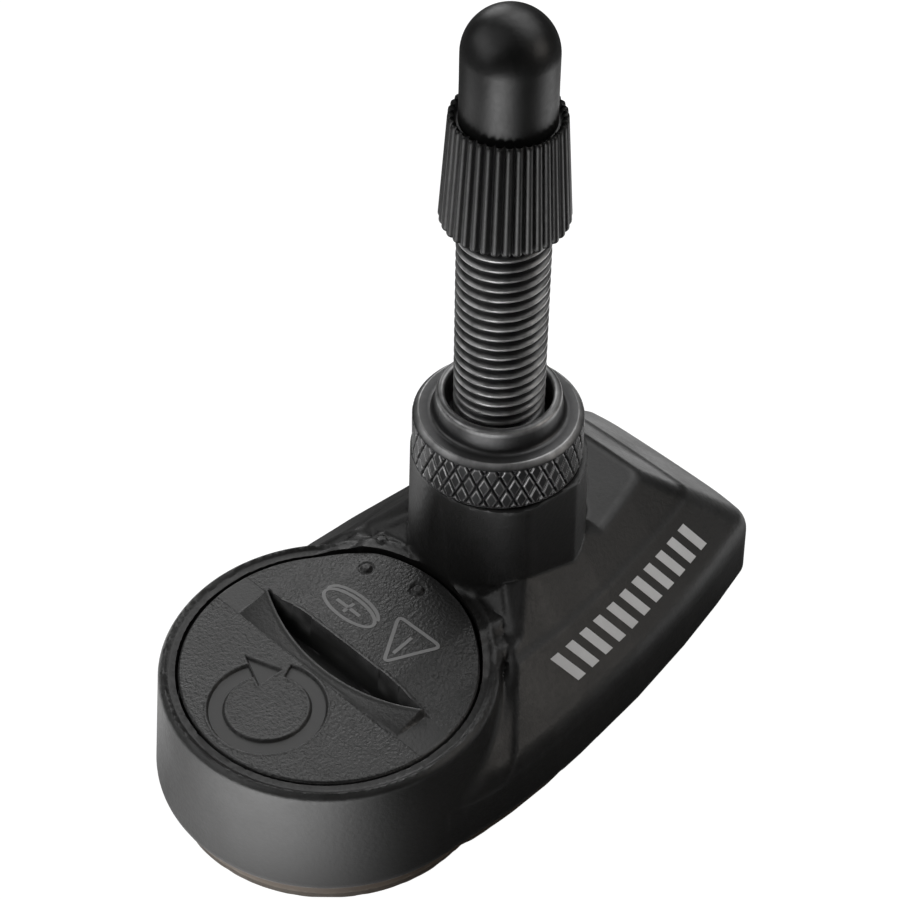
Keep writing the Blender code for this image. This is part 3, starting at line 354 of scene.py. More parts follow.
def half_width(x):
    return np.interp(
        x,
        [-15.6, -14.6, -13.2, -11.6, -9.5, -6.3, -2.6, 2.6, 8.6, 13.2, 16.6, 19.0],
        [11.2, 11.62, 11.96, 12.14, 12.23, 12.22, 12.0, 11.5, 10.55, 9.6, 8.75, 8.15],
    )


def end_place(y):
    return WING_END - 0.0023 * y**2 - 0.02 * np.maximum(np.abs(y) - 4, 0) ** 2


def top_level(x, y):
    """The height of the cover and of the deck round it."""
    slope = (PLATEAU_FLAT + SHOULDER_RUN - np.abs(y)) / SHOULDER_RUN
    corner = 0.12
    rise = np.where(
        slope < 0.5,
        0.5 * (slope + np.sqrt(slope**2 + corner**2)),
        1 - 0.5 * ((1 - slope) + np.sqrt((1 - slope) ** 2 + corner**2)),
    )
    ahead = smooth((x - SLOT_EDGE + 0.9) / 0.8)
    return FRONT_TOP + (PLATEAU_TOP - FRONT_TOP) * rise * ahead


def deck_level(x, y):
    """The height of the deck between the rim and the boss, with its lower outer corners."""
    far = np.hypot(x - COVER_DX, y)
    deck = PLATEAU_TOP - SHELF_DROP * smooth((np.abs(y) - SHELF_START) / 0.4)
    share = smooth((far - 10.6) / 0.6)
    return top_level(x, y) * (1 - share) + deck * share


def web_level(x, ay):
    """The ramp that rises from the deck to the boss, steeper toward the corners."""
    away = (x - WEB_LINE[0]) - (ay - WEB_LINE[1]) * WEB_TURN
    return PLATEAU_TOP + 0.95 * np.maximum(away, 0) ** 1.25


def ledge_level(x, ay):
    """The sloped face between the boss's corner and the flank's front edge."""
    return LEDGE_TOP + LEDGE_SLOPES[0] * (x - CORNER[0]) - LEDGE_SLOPES[1] * (ay - CORNER[1])


def housing_solid(x, y, z):
    """The housing's outer form: the wing and the neck, then the round end, then the boss."""
    ay = np.abs(y)
    half = half_width(x)
    end_x = end_place(y)
    side = (ay - half) * 0.985 + SIDE_LEAN * (z - HOUSING_BOTTOM)
    end = x - end_x + END_LEAN * (z - HOUSING_BOTTOM)
    body = np.maximum(round_and(side, end, PLAN_CORNER), COVER_DX - x)
    steep = NECK_SLOPE + (FLANK_SLOPE - NECK_SLOPE) * smooth((x + 5.5) / 4.0)
    flank = (z - SKIRT_TOP - steep * (half - ay)) / math.hypot(1, FLANK_SLOPE)
    facet = (z - SKIRT_TOP - END_SLOPE * (end_x - x)) / math.hypot(1, END_SLOPE)
    roof_z = CREST_TOP + ROOF_SLOPE * (x - CREST_X) + ROOF_RISE * np.maximum(ROOF_TURN - x, 0)
    sloped = round_and(flank, facet, 0.7)
    sloped = round_and(sloped, z - roof_z, 0.35)
    wing = round_and(body, sloped, 0.5)

    far = np.hypot(x - COVER_DX, y)
    deck = z - deck_level(x, y)
    beside = -LEDGE_NORMAL[0] * (x - LEDGE_LINE[0]) - LEDGE_NORMAL[1] * (ay - LEDGE_LINE[1])
    ledge = round_and((z - ledge_level(x, ay)) * 0.79, beside, 0.25)
    wing = round_and(wing, round_or(deck, ledge, 0.3), 0.14)
    # A valley parts the round end from the wing, filled up to a floor.
    floor_z = np.clip(VALLEY_FLOOR + x - VALLEY_START, SKIRT_TOP - 1.0, VALLEY_FLOOR)
    filled = np.maximum(wing, (z - floor_z) * 0.7)
    wing = round_and(wing, VALLEY_RADIUS + VALLEY_LEAN * (z - SKIRT_TOP) - far, VALLEY_EDGE)
    wing = round_or(wing, filled, 0.5)
    end = (ay - WEB_END + WEB_END_LEAN * (z - WEB_END_TOP)) * 0.77
    web = round_and((z - web_level(x, ay)) * 0.75, end, 0.2)
    neck = round_and(ay - NECK_HALF, np.minimum(deck, web), 0.6)
    neck = np.maximum(neck, np.maximum(COVER_DX + 7.0 - x, x + 2.0))
    wing = round_or(wing, neck, 0.35)

    lean = BOSS_LEAN * (BOSS_TOP - z)
    arc = np.hypot(x - FRONT_CENTRE, y) - FRONT_RADIUS
    back = np.hypot(x, y) - BACK_RADIUS
    sx, sy = SHOULDER[0] - CORNER[0], SHOULDER[1] - CORNER[1]
    flat = ((ay - CORNER[1]) * sx - (x - CORNER[0]) * sy) / math.hypot(sx, sy)
    boss = round_and(arc, np.maximum(flat, back), 0.3) - lean
    boss = round_and(boss, z - BOSS_TOP, 0.15)

    wall = (far - (WALL_RADIUS - WALL_LEAN * (z - HOUSING_BOTTOM))) * 0.997
    bead = BEAD_HEIGHT * np.exp(-(((far - BEAD_PLACE) / BEAD_WIDTH) ** 2)) - BEAD_SINK
    lip = LIP_HEIGHT * np.exp(-(((far - LIP_PLACE) / LIP_WIDTH) ** 2))
    rim = z - top_level(x, y) - bead - lip
    ring = round_and(wall, rim, 0.28)

    body = round_or(wing, ring, 0.8)
    fillet = BOSS_FILLET + (CORNER_FILLET - BOSS_FILLET) * smooth((ay - 3.2) / 1.0)
    body = round_or(body, boss, fillet)
    body = body - dot_height(x, y, *HOUSING_DOT) * 0.9 * smooth((11.9 - z) / 0.3)
    return round_and(body, HOUSING_BOTTOM - z, 0.2)


def housing_hollow(x, y, z):
    """The cover's bore, the cell's bay, the stem's bore and foot, and the board's space."""
    far = np.hypot(x - COVER_DX, y)
    bore = np.maximum(far - COVER_BORE, BORE_FLOOR - z)
    bay = np.maximum(far - BAY_RADIUS, BAY_FLOOR - z)
    centre = np.hypot(x, y)
    stem = centre - STEM_BORE
    foot = np.maximum(centre - FOOT_BORE, z - FOOT_TOP)
    inner = np.maximum(np.abs(y) - half_width(x) + SHELL_WALL, x - end_place(y) + SHELL_WALL)
    inner = np.maximum(inner, COVER_DX - x)
    inner = np.minimum(inner, far - BAY_WALL)
    board = np.maximum(inner, z - BOARD_TOP)
    return np.minimum(np.minimum(bore, bay), np.minimum(np.minimum(stem, foot), board))


def housing_field(x, y, z):
    return np.maximum(housing_solid(x, y, z), -housing_hollow(x, y, z))


# ------------------------------------------------------------------ materials


class Nodes:
    """A short way to write a material's node tree."""

    def __init__(self, name):
        self.material = bpy.data.materials.new(name)
        self.material.use_nodes = True
        self.tree = self.material.node_tree
        self.shader = self.tree.nodes["Principled BSDF"]
        self.place = self.tree.nodes.new("ShaderNodeTexCoord").outputs["Object"]

    def link(self, a, b):
        self.tree.links.new(a, b)

    def noise(self, scale, detail=3.0, rough=0.55):
        node = self.tree.nodes.new("ShaderNodeTexNoise")
        self.link(self.place, node.inputs["Vector"])
        node.inputs["Scale"].default_value = scale
        node.inputs["Detail"].default_value = detail
        node.inputs["Roughness"].default_value = rough
        return node.outputs["Fac"]

    def attribute(self, name):
        node = self.tree.nodes.new("ShaderNodeAttribute")
        node.attribute_name = name
        return node.outputs["Fac"]

    def math(self, operation, a, b, clamp=False):
        node = self.tree.nodes.new("ShaderNodeMath")
        node.operation = operation
        node.use_clamp = clamp
        for socket, value in zip(node.inputs, (a, b)):
            if isinstance(value, (int, float)):
                socket.default_value = value
            else:
                self.link(value, socket)
        return node.outputs[0]

    def spread(self, value, low, high):
        node = self.tree.nodes.new("ShaderNodeMapRange")
        self.link(value, node.inputs["Value"])
        node.inputs["From Min"].default_value = 0.3
        node.inputs["From Max"].default_value = 0.7
        node.inputs["To Min"].default_value = low
        node.inputs["To Max"].default_value = high
        return node.outputs[0]

    def blend(self, factor, a, b):
        node = self.tree.nodes.new("ShaderNodeMix")
        node.data_type = "RGBA"
        self.link(factor, node.inputs["Factor"])
        for socket, value in ((node.inputs["A"], a), (node.inputs["B"], b)):
            if isinstance(value, tuple):
                socket.default_value = (*value, 1)
            else:
                self.link(value, socket)
        return node.outputs["Result"]

    def bump(self, height, distance, strength=1.0, under=None):
        node = self.tree.nodes.new("ShaderNodeBump")
        self.link(height, node.inputs["Height"])
        node.inputs["Distance"].default_value = distance
        node.inputs["Strength"].default_value = strength
        if under:
            self.link(under, node.inputs["Normal"])
        return node.outputs["Normal"]


def surface(name, dark, light, edge, rough, metallic=0.0, mottle=260.0, grain=3200.0,
            bump=0.00002, grain_on=None, specular=0.5):
    """A material with mottled colour, worn edges, uneven gloss and a fine grain."""
    n = Nodes(name)
    patches = n.noise(mottle, 4.0)
    fine = n.noise(grain, 2.0)
    base = n.blend(n.spread(patches, 0.0, 1.0), dark, light)
    worn = n.math("MULTIPLY", n.attribute("edge"), n.spread(n.noise(900.0), 0.35, 1.0), clamp=True)
    n.link(n.blend(worn, base, edge), n.shader.inputs["Base Color"])
    gloss = n.math("ADD", n.spread(patches, rough[0], rough[1]), n.spread(fine, -0.03, 0.03))
    n.link(gloss, n.shader.inputs["Roughness"])
    height = n.math("MULTIPLY", fine, n.attribute(grain_on)) if grain_on else fine
    n.link(n.bump(height, bump), n.shader.inputs["Normal"])
    n.shader.inputs["Metallic"].default_value = metallic
    n.shader.inputs["Specular IOR Level"].default_value = specular
    return n.material


PLASTIC = surface("satin_black_plastic", (0.007, 0.0069, 0.0066), (0.01, 0.0098, 0.0094),
                  (0.03, 0.03, 0.03), (0.36, 0.46), specular=0.45)
COVER_PLASTIC = surface("grained_black_plastic", (0.026, 0.026, 0.0256), (0.034, 0.034, 0.0335),
                        (0.12, 0.12, 0.12), (0.34, 0.44), grain=4200.0, bump=0.00009,
                        grain_on="grain", specular=0.5)
CAP_PLASTIC = surface("smooth_black_plastic", (0.006, 0.006, 0.006), (0.008, 0.008, 0.008),
                      (0.02, 0.02, 0.02), (0.36, 0.44), bump=0.000008, specular=0.5)
ANODISED = surface("dark_anodised_metal", (0.04, 0.04, 0.041), (0.055, 0.055, 0.056),
                   (0.5, 0.5, 0.5), (0.32, 0.42), metallic=0.6, bump=0.00001, specular=0.3)
ICON_PRINT = surface("dim_grey_print", (0.2, 0.2, 0.2), (0.25, 0.25, 0.25), (0.25, 0.25, 0.25),
                     (0.5, 0.6), bump=0.00001)
PRINT = surface("pale_grey_print", (0.62, 0.62, 0.62), (0.72, 0.72, 0.72), (0.72, 0.72, 0.72),
                (0.5, 0.6), bump=0.00001)
# The base plate's warm brown, lighter colour is a painted warm reflection. It stands in for warm
# light bouncing onto the base, not the plate's own colour.
BASE_PLASTIC_WARM_REFLECTION = surface("base_plastic_painted_warm_reflection", (0.09, 0.065, 0.045), (0.12, 0.088, 0.062),
                       (0.16, 0.13, 0.1), (0.3, 0.4))
# The gasket's warm brown, lighter colour is also a painted warm reflection, not the rubber's own
# colour.
BASE_RUBBER_WARM_REFLECTION = surface("base_rubber_painted_warm_reflection", (0.07, 0.05, 0.035), (0.09, 0.066, 0.046),
                      (0.12, 0.1, 0.08), (0.4, 0.55))
RUBBER = surface("black_rubber", (0.012, 0.012, 0.012), (0.02, 0.02, 0.02), (0.03, 0.03, 0.03),
                 (0.6, 0.75))

BRIGHT_STEEL = surface("bright_steel", (0.5, 0.5, 0.49), (0.62, 0.62, 0.6), (0.8, 0.8, 0.78),
                       (0.22, 0.34), metallic=1.0, bump=0.000006)
TINNED = surface("tinned_strip", (0.55, 0.54, 0.5), (0.68, 0.67, 0.63), (0.8, 0.8, 0.76),
                 (0.28, 0.4), metallic=1.0, bump=0.000008)
BRASS = surface("yellow_brass", (0.5, 0.34, 0.13), (0.66, 0.46, 0.2), (0.8, 0.62, 0.35),
                (0.25, 0.38), metallic=1.0, bump=0.000008)
LAMINATE = surface("green_laminate", (0.012, 0.07, 0.03), (0.02, 0.11, 0.05), (0.2, 0.22, 0.12),
                   (0.35, 0.5), grain=6000.0)
CHIP_RESIN = surface("chip_resin", (0.012, 0.012, 0.012), (0.022, 0.022, 0.022),
                     (0.05, 0.05, 0.05), (0.5, 0.62))
CERAMIC = surface("tan_ceramic", (0.34, 0.22, 0.11), (0.45, 0.3, 0.16), (0.6, 0.5, 0.35),
                  (0.45, 0.6))

# ------------------------------------------------------------------ housing

HOUSING_STEP = 0.22
points, faces = surface_net(
    housing_field,
    (COVER_DX - 12.1, -12.4, HOUSING_BOTTOM),
    (WING_END, 12.4, BOSS_TOP),
    HOUSING_STEP,
)
edges = edge_strength(housing_solid, points)
housing = new_piece(
    "housing_shell", points + [STEM_X, 0, 0], faces, body_of("housing"), PLASTIC,
    attributes={"edge": np.maximum(edges, 0)},
)
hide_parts("housing")

# ------------------------------------------------------------------ battery cover


def arrow_inside(x, y):
    """How far inside the pressed turning arrow each point is; less than zero outside."""
    (cx, cy), radius = ARROW_CENTRE, ARROW_RADIUS
    angle = np.degrees(np.arctan2(y - cy, x - cx))
    angle = (angle - ARROW_START) % 360.0
    band = ARROW_HALF - np.abs(np.hypot(x - cx, y - cy) - radius)
    band = np.where(angle < ARROW_SWEEP, band, -1.0)
    tip = math.radians(ARROW_START - ARROW_HEAD)
    start = math.radians(ARROW_START)
    a, b = (
        np.array([cx + reach * math.cos(start), cy + reach * math.sin(start)])
        for reach in (radius + ARROW_WING, radius - ARROW_WING)
    )
    c = np.array([cx + radius * math.cos(tip), cy + radius * math.sin(tip)])
    head = triangle_inside(x, y, a, b, c)
    return np.maximum(band, head)


def triangle_inside(x, y, a, b, c):
    """How far inside the triangle each point is; less than zero outside."""
    found = None
    corners = [a, b, c]
    area = (b[0] - a[0]) * (c[1] - a[1]) - (b[1] - a[1]) * (c[0] - a[0])
    turn = 1 if area > 0 else -1
    for i in range(3):
        p, q = corners[i], corners[(i + 1) % 3]
        dx, dy = q[0] - p[0], q[1] - p[1]
        d = turn * (dx * (y - p[1]) - dy * (x - p[0])) / math.hypot(dx, dy)
        found = d if found is None else np.minimum(found, d)
    return found


def cover_height(x, y):
    """Height of the cover's top, and where its moulded grain is."""
    level = top_level(x, y)
    bulge = SLOT_BULGE * (1 - (y / SLOT_HALF) ** 2)
    near_edge = SLOT_EDGE - np.maximum(bulge, 0)
    ends = smooth((SLOT_HALF - 0.05 - np.abs(y)) / 0.3)
    along = np.clip((x - CREASE_X) / (SLOT_EDGE - CREASE_X), 0, 1)
    ramp = (0.2 + 0.5 * (y / SLOT_HALF) ** 2) * along**0.8 * ends
    crease = 0.06 * np.exp(-(((x - CREASE_X) / 0.1) ** 2)) * ends * smooth((4 - y) / 6)
    height = np.where(x < SLOT_EDGE, FRONT_TOP + ramp - crease, level)
    inside = np.minimum(SLOT_EDGE - x, x - near_edge) * (bulge > 0)
    drop = smooth(inside / 0.34)
    height = height + (SLOT_FLOOR - height) * drop * smooth(bulge / 0.35)
    lip = np.exp(-(((x - SLOT_EDGE - 0.1) / 0.14) ** 2))
    lip = lip * smooth((SLOT_HALF + 0.3 - np.abs(y)) / 0.5)
    rim = np.exp(-(((x - near_edge + 0.12) / 0.12) ** 2)) * (bulge > 0.05)
    height = height + 0.06 * lip + 0.05 * rim
    for cx, cy in DOTS:
        height = height + dot_height(x, y, cx, cy)
    pressed = smooth(arrow_inside(x, y) / 0.14)
    bank = np.exp(-(((arrow_inside(x, y) + 0.07) / 0.08) ** 2))
    height = height - ARROW_DEPTH * pressed + ARROW_BANK * bank
    grain = (1 - pressed) * np.where(inside > 0.0, 0.0, 1.0)
    grain = grain * np.where((x > CREASE_X) & (x < SLOT_EDGE), 0.35, 1.0)
    far = np.hypot(x - COVER_DX, y)
    height = height - 0.14 * smooth((far - COVER_RADIUS + 0.16) / 0.16) ** 2
    return height, grain


COVER_SIDE = 300  # points along each side of the top's square grid
FLANGE_LOW, PLUG_LOW, PLUG_RADIUS, PLUG_BORE, COVER_CEILING = 8.2, 5.6, 8.75, 8.25, 8.5


def build_cover():
    """A square grid pressed into a disc for the top, with a flange and a hollow plug below."""
    side = COVER_SIDE
    t = np.linspace(-1, 1, side)
    u, v = np.meshgrid(t, t, indexing="ij")
    x = COVER_DX + COVER_RADIUS * u * np.sqrt(1 - v * v / 2)
    y = COVER_RADIUS * v * np.sqrt(1 - u * u / 2)
    z, grain = cover_height(x, y)
    points = np.stack([x, y, z], -1).reshape(-1, 3)
    number = np.arange(side * side).reshape(side, side)
    quads = np.stack(
        [number[:-1, :-1], number[1:, :-1], number[1:, 1:], number[:-1, 1:]], -1
    ).reshape(-1, 4)
    loop = np.concatenate(
        [number[:-1, 0], number[-1, :-1], number[:0:-1, -1], number[0, :0:-1]]
    )
    count = len(loop)
    edge = points[loop]
    flat = edge[:, :2] - [COVER_DX, 0]
    flat = flat / np.linalg.norm(flat, axis=1, keepdims=True)
    rows = []
    for radius, height in (
        (COVER_RADIUS, FLANGE_LOW),
        (PLUG_RADIUS, FLANGE_LOW),
        (PLUG_RADIUS, PLUG_LOW),
        (PLUG_BORE, PLUG_LOW),
        (PLUG_BORE, COVER_CEILING),
    ):
        rows.append(np.column_stack([flat * radius + [COVER_DX, 0], np.full(count, height)]))
    extra = np.concatenate(rows)
    faces = [tuple(q) for q in quads]
    start = len(points)
    ids = [loop] + [start + k * count + np.arange(count) for k in range(len(rows))]
    for upper, lower in zip(ids, ids[1:]):
        after = np.roll(np.arange(count), -1)
        for i in range(count):
            j = after[i]
            faces.append((upper[i], lower[i], lower[j], upper[j]))
    faces.append(tuple(ids[-1][::-1]))
    points = np.concatenate([points, extra])
    steep = np.zeros(len(points))
    gx = np.gradient(z, axis=0) / np.maximum(np.gradient(x, axis=0), 1e-4)
    curve = -(np.gradient(gx, axis=0) / np.maximum(np.gradient(x, axis=0), 1e-4))
    steep[: side * side] = np.clip(curve * 0.06, 0, 1).reshape(-1)
    grains = np.ones(len(points))
    grains[: side * side] = grain.reshape(-1)
    return points + [STEM_X, 0, 0], faces, steep, grains


points, faces, steep, grains = build_cover()
cover = new_piece(
    "battery_cover_disc", points, faces, body_of("battery_cover"), COVER_PLASTIC,
    attributes={"edge": steep, "grain": grains},
)
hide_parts("battery_cover")

# ------------------------------------------------------------------ lock ring


RING_BORE, SOCKET_BORE, SOCKET_TOP = 3.07, 3.54, 22.4
RING_FACE, KNURL_TOP = 23.4, 23.05
KNURL_RADIUS, KNURL_DEPTH, KNURL_COUNT, KNURL_RISE, KNURL_STEPS = 5.67, 0.22, 36, 2.15, 56


def build_ring():
    """The collar from its bore over its top, the flat face, the knurl, and back up the bore."""
    ring = Turning(KNURL_COUNT * 16)
    turns = KNURL_COUNT * ring.angle / TAU
    knurl_low = ring_low[2] + 0.22
    ring.profile(
        (SOCKET_BORE, SOCKET_TOP),
        (SOCKET_BORE, 24.75, 0.2),
        (3.58, 24.95, 0.9),
        (3.68, 25.04, 1.0),
        (3.84, 25.05, 0.2),
        (3.98, 25.02, 0.3),
        (4.08, 24.93, 1.0),
        (4.13, 24.8, 0.6),
        (4.16, 24.55, 0.1),
        (4.26, 23.9),
        (4.33, 23.62),
        (4.40, 23.47, 0.1),
        (4.52, 23.41, 0.1),
        (4.7, RING_FACE),
        (5.2, RING_FACE, 0.1),
        (5.28, RING_FACE - 0.01, 0.9),
        (5.34, RING_FACE - 0.05, 0.9),
        (5.55, KNURL_TOP + 0.08, 0.3),
    )
    for i in range(KNURL_STEPS + 1):
        z = KNURL_TOP + (knurl_low - KNURL_TOP) * i / KNURL_STEPS
        a = (turns + z / KNURL_RISE) % 1.0
        b = (turns - z / KNURL_RISE) % 1.0
        near = np.minimum(np.minimum(a, 1 - a), np.minimum(b, 1 - b))
        groove = 1 - smooth(near / 0.14)
        fade = smooth((KNURL_TOP - z) / 0.15) * smooth((z - knurl_low) / 0.12)
        radius = KNURL_RADIUS - KNURL_DEPTH * groove * fade - 0.04 * (1 - fade)
        rim = np.exp(-(((near - 0.15) / 0.04) ** 2)) * fade
        ring.add(radius, z, rim)
    ring.profile(
        (5.6, ring_low[2] + 0.1, 0.4),
        (5.45, ring_low[2], 0.3),
        (RING_BORE, ring_low[2]),
        (RING_BORE, SOCKET_TOP),
    )
    return ring.closed()


points, faces, edge = build_ring()
ring = new_piece(
    "lock_ring_knurled", points, faces, body_of("lock_ring"), ANODISED, 50, {"edge": edge}
)
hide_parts("lock_ring")

# ------------------------------------------------------------------ valve stem


THREAD_PITCH = 25.4 / 32
THREAD_ROOT, THREAD_HEIGHT, THREAD_END = 2.6, 0.4, 19.8
THREAD_STEPS = 14  # rings in one pitch
CORE_BORE, CORE_SEAT, AIR_BORE = 2.3, 32.6, 1.2
VALVE_BORE, VALVE_DEPTH = 3.06, 5.3


def build_stem():
    """The stem from the core's bore over its top, down the thread, round the foot and back up."""
    stem = Turning(96)
    stem.profile(
        (CORE_BORE, CORE_SEAT),
        (CORE_BORE, stem_top - 0.1),
        (2.36, stem_top),
        (2.52, stem_top, 0.5),
        (THREAD_ROOT, stem_top - 0.08, 0.8),
    )
    z = stem_top - 0.2
    while z > THREAD_END:
        turn = (z / THREAD_PITCH - stem.angle / TAU) % 1.0
        near = np.abs(turn - 0.5) * 2
        crest = smooth(1.25 - near * 1.5)
        fade = smooth((stem_top - 0.15 - z) / 0.8)
        radius = THREAD_ROOT + (THREAD_HEIGHT * crest) * fade
        stem.add(radius, z, np.clip((crest - 0.55) * 2.2, 0, 1) * fade)
        z -= THREAD_PITCH / THREAD_STEPS
    stem.profile(
        (2.95, 19.4),
        (2.95, 5.7),
        (4.4, 5.6, 0.3),
        (4.4, 0.4),
        (4.3, 0.3, 0.3),
        (3.15, 0.3, 0.3),
        (VALVE_BORE, 0.4),
        (VALVE_BORE, VALVE_DEPTH),
        (AIR_BORE, VALVE_DEPTH),
        (AIR_BORE, CORE_SEAT),
    )
    return stem.closed()


points, faces, edge = build_stem()
stem = new_piece(
    "threaded_stem", points, faces, body_of("valve_stem"), ANODISED, 60, {"edge": edge}
)
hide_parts("valve_stem")

# ------------------------------------------------------------------ valve cap


FLUTE_COUNT, FLUTE_SIDES, FLUTE_DEPTH = 36, 14, 0.34
FLUTE_TOP_RADIUS, FLUTE_LOW_RADIUS, FLUTE_TOP, FLUTE_STEPS = 3.64, 4.13, 47.0, 36
DOME_RADIUS, DOME_START, DOME_STEPS = 2.98, 51.5, 24
CAP_ROUND, CAP_PULL, CAP_ROUND_STEPS = 0.35, 0.3, 6
CAP_BORE, HOLLOW_RADIUS, HOLLOW_TOP = 3.07, 2.45, 53.3


def build_cap():
    """The cap from its tip down the dome and the flutes, round the foot and up the bore."""
    cap = Turning(FLUTE_COUNT * FLUTE_SIDES)
    count = cap.count
    share = np.abs((np.arange(count) / FLUTE_SIDES) % 1.0 - 0.5) * 2
    crest = np.sqrt(np.clip(1 - (share / 0.86) ** 2, 0, 1))
    bottom, top = cap_low[2], cap_high[2]
    for i in range(1, DOME_STEPS + 1):
        a = math.pi / 2 * i / DOME_STEPS
        cap.add(DOME_RADIUS * math.sin(a), DOME_START + (top - DOME_START) * math.cos(a))
    cap.profile(
        (DOME_RADIUS, 49.5),
        (DOME_RADIUS + 0.02, 47.1),
        (DOME_RADIUS + 0.03, 46.75),
        (3.12, 46.72),
        (3.2, 46.95),
        (3.28 + 0.1 * crest, 47.1, 0.2),
        (3.28 + 0.26 * crest, 47.2, 0.5 * crest),
        (3.3 + 0.31 * crest, 47.14, 0.9 * crest),
    )
    for i in range(FLUTE_STEPS + 1):
        t = i / FLUTE_STEPS
        z = FLUTE_TOP + (bottom + CAP_ROUND - FLUTE_TOP) * t
        outer = FLUTE_TOP_RADIUS + (FLUTE_LOW_RADIUS - FLUTE_TOP_RADIUS) * t
        cap.add(outer - FLUTE_DEPTH * (1 - crest), z, 0.55 * smooth((crest - 0.8) / 0.2))
    for i in range(1, CAP_ROUND_STEPS + 1):
        a = math.pi / 2 * i / CAP_ROUND_STEPS
        pull = CAP_PULL * (1 - math.cos(a))
        radius = FLUTE_LOW_RADIUS - FLUTE_DEPTH * (1 - crest) - pull
        cap.add(radius, bottom + CAP_ROUND - CAP_ROUND * math.sin(a), 0.2 * crest)
    cap.profile(
        (3.2, bottom),
        (CAP_BORE, bottom + 0.1),
        (CAP_BORE, 46.2),
        (HOLLOW_RADIUS, 46.3),
        (HOLLOW_RADIUS, DOME_START),
        (1.6, 53.2),
    )
    lowest = len(cap.rows)
    points = np.concatenate(cap.rows)
    faces = tube_faces(lowest, count)
    tip = len(points)
    points = np.concatenate([points, [[0, 0, top]], [[0, 0, HOLLOW_TOP]]])
    for i in range(count):
        j = (i + 1) % count
        faces.append((tip, i, j))
        faces.append((tip + 1, (lowest - 1) * count + j, (lowest - 1) * count + i))
    return points + [STEM_X, 0, 0], faces, np.concatenate(cap.edge + [[0, 0]])


points, faces, edge = build_cap()
cap = new_piece("fluted_cap", points, faces, body_of("valve_cap"), CAP_PLASTIC, 50, {"edge": edge})
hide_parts("valve_cap")

# ------------------------------------------------------------------ core spring

spring_low, spring_high = box_mm("core_spring")
SPRING_WIRE, SPRING_TURNS = 0.14, 5


def build_spring():
    """A round-wire coil between the core spring's two ends."""
    per_turn, sides = 36, 12
    across = (spring_high[0] - spring_low[0]) / 2 - SPRING_WIRE
    count = SPRING_TURNS * per_turn + 1
    angle = TAU * np.arange(count) / per_turn
    height = np.linspace(spring_low[2] + SPRING_WIRE, spring_high[2] - SPRING_WIRE, count)
    out = np.stack([np.cos(angle), np.sin(angle), np.zeros(count)], 1)
    around = TAU * np.arange(sides) / sides
    ring = np.cos(around)[None, :, None] * out[:, None] + np.sin(around)[None, :, None] * [0, 0, 1]
    middle = out * across + np.stack([np.zeros(count), np.zeros(count), height], 1)
    points = (middle[:, None] + SPRING_WIRE * ring).reshape(-1, 3) + [STEM_X, 0, 0]
    faces = [face[::-1] for face in tube_faces(count, sides)]
    faces.append(tuple(range(sides)))
    faces.append(tuple(reversed(range((count - 1) * sides, count * sides))))
    return points, faces


points, faces = build_spring()
coil = new_piece("core_spring_coil", points, faces, body_of("core_spring"), BRIGHT_STEEL)
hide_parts("core_spring")
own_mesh(coil)

# ------------------------------------------------------------------ printed marks


def ribbon(path, width, closed):
    """Left and right edges of a stroke along a path, as an (n, 2, 2) array."""
    path = np.asarray(path, float)
    if closed:
        along = np.roll(path, -1, 0) - np.roll(path, 1, 0)
    else:
        along = np.gradient(path, axis=0)
    along /= np.linalg.norm(along, axis=1, keepdims=True)
    across = np.stack([-along[:, 1], along[:, 0]], 1) * width / 2
    return np.stack([path + across, path - across], 1)


def rounded(corners, radius, steps=6, spacing=0.25):
    """A closed path through the corners, each one rounded."""
    corners = np.asarray(corners, float)
    path = []
    for i, corner in enumerate(corners):
        before = corners[i - 1] - corner
        after = corners[(i + 1) % len(corners)] - corner
        start = corner + before / np.linalg.norm(before) * radius
        end = corner + after / np.linalg.norm(after) * radius
        for k in range(steps + 1):
            t = k / steps
            path.append((1 - t) ** 2 * start + 2 * t * (1 - t) * corner + t * t * end)
        following = corners[(i + 1) % len(corners)]
        ahead = following - after / np.linalg.norm(after) * radius
        count = max(int(np.linalg.norm(ahead - end) / spacing), 1)
        path += [end + (ahead - end) * k / count for k in range(1, count)]
    return np.array(path)


def line(a, b, count=8):
    return np.linspace(a, b, count)


def ellipse(centre, long, short, start=0.0, end=360.0, count=72):
    angle = np.radians(np.linspace(start, end, count, endpoint=end - start < 359))
    return np.stack([centre[0] + short * np.cos(angle), centre[1] + long * np.sin(angle)], 1)


INK_LIFT = 0.018


def print_strokes(name, strokes, body, lift=INK_LIFT, sink=0.05):
    """Thin raised ink on top of the cover, from (path, width, closed) strokes."""
    points, faces = [], []
    for path, width, closed in strokes:
        edges = ribbon(path, width, closed)
        level = top_level(edges[..., 0], edges[..., 1])
        rows = len(edges)
        first = len(points)
        for r in range(rows):
            (lx, ly), (rx, ry) = edges[r]
            points += [
                (lx, ly, level[r, 0] + lift),
                (rx, ry, level[r, 1] + lift),
                (rx, ry, level[r, 1] - sink),
                (lx, ly, level[r, 0] - sink),
            ]
        faces += [tuple(first + i for i in f[::-1]) for f in tube_faces(rows, 4, closed)]
        if not closed:
            last = first + 4 * (rows - 1)
            faces.append((first, first + 1, first + 2, first + 3))
            faces.append((last + 3, last + 2, last + 1, last))
    return new_piece(name, np.array(points) + [STEM_X, 0, 0], faces, body, ICON_PRINT, 30)


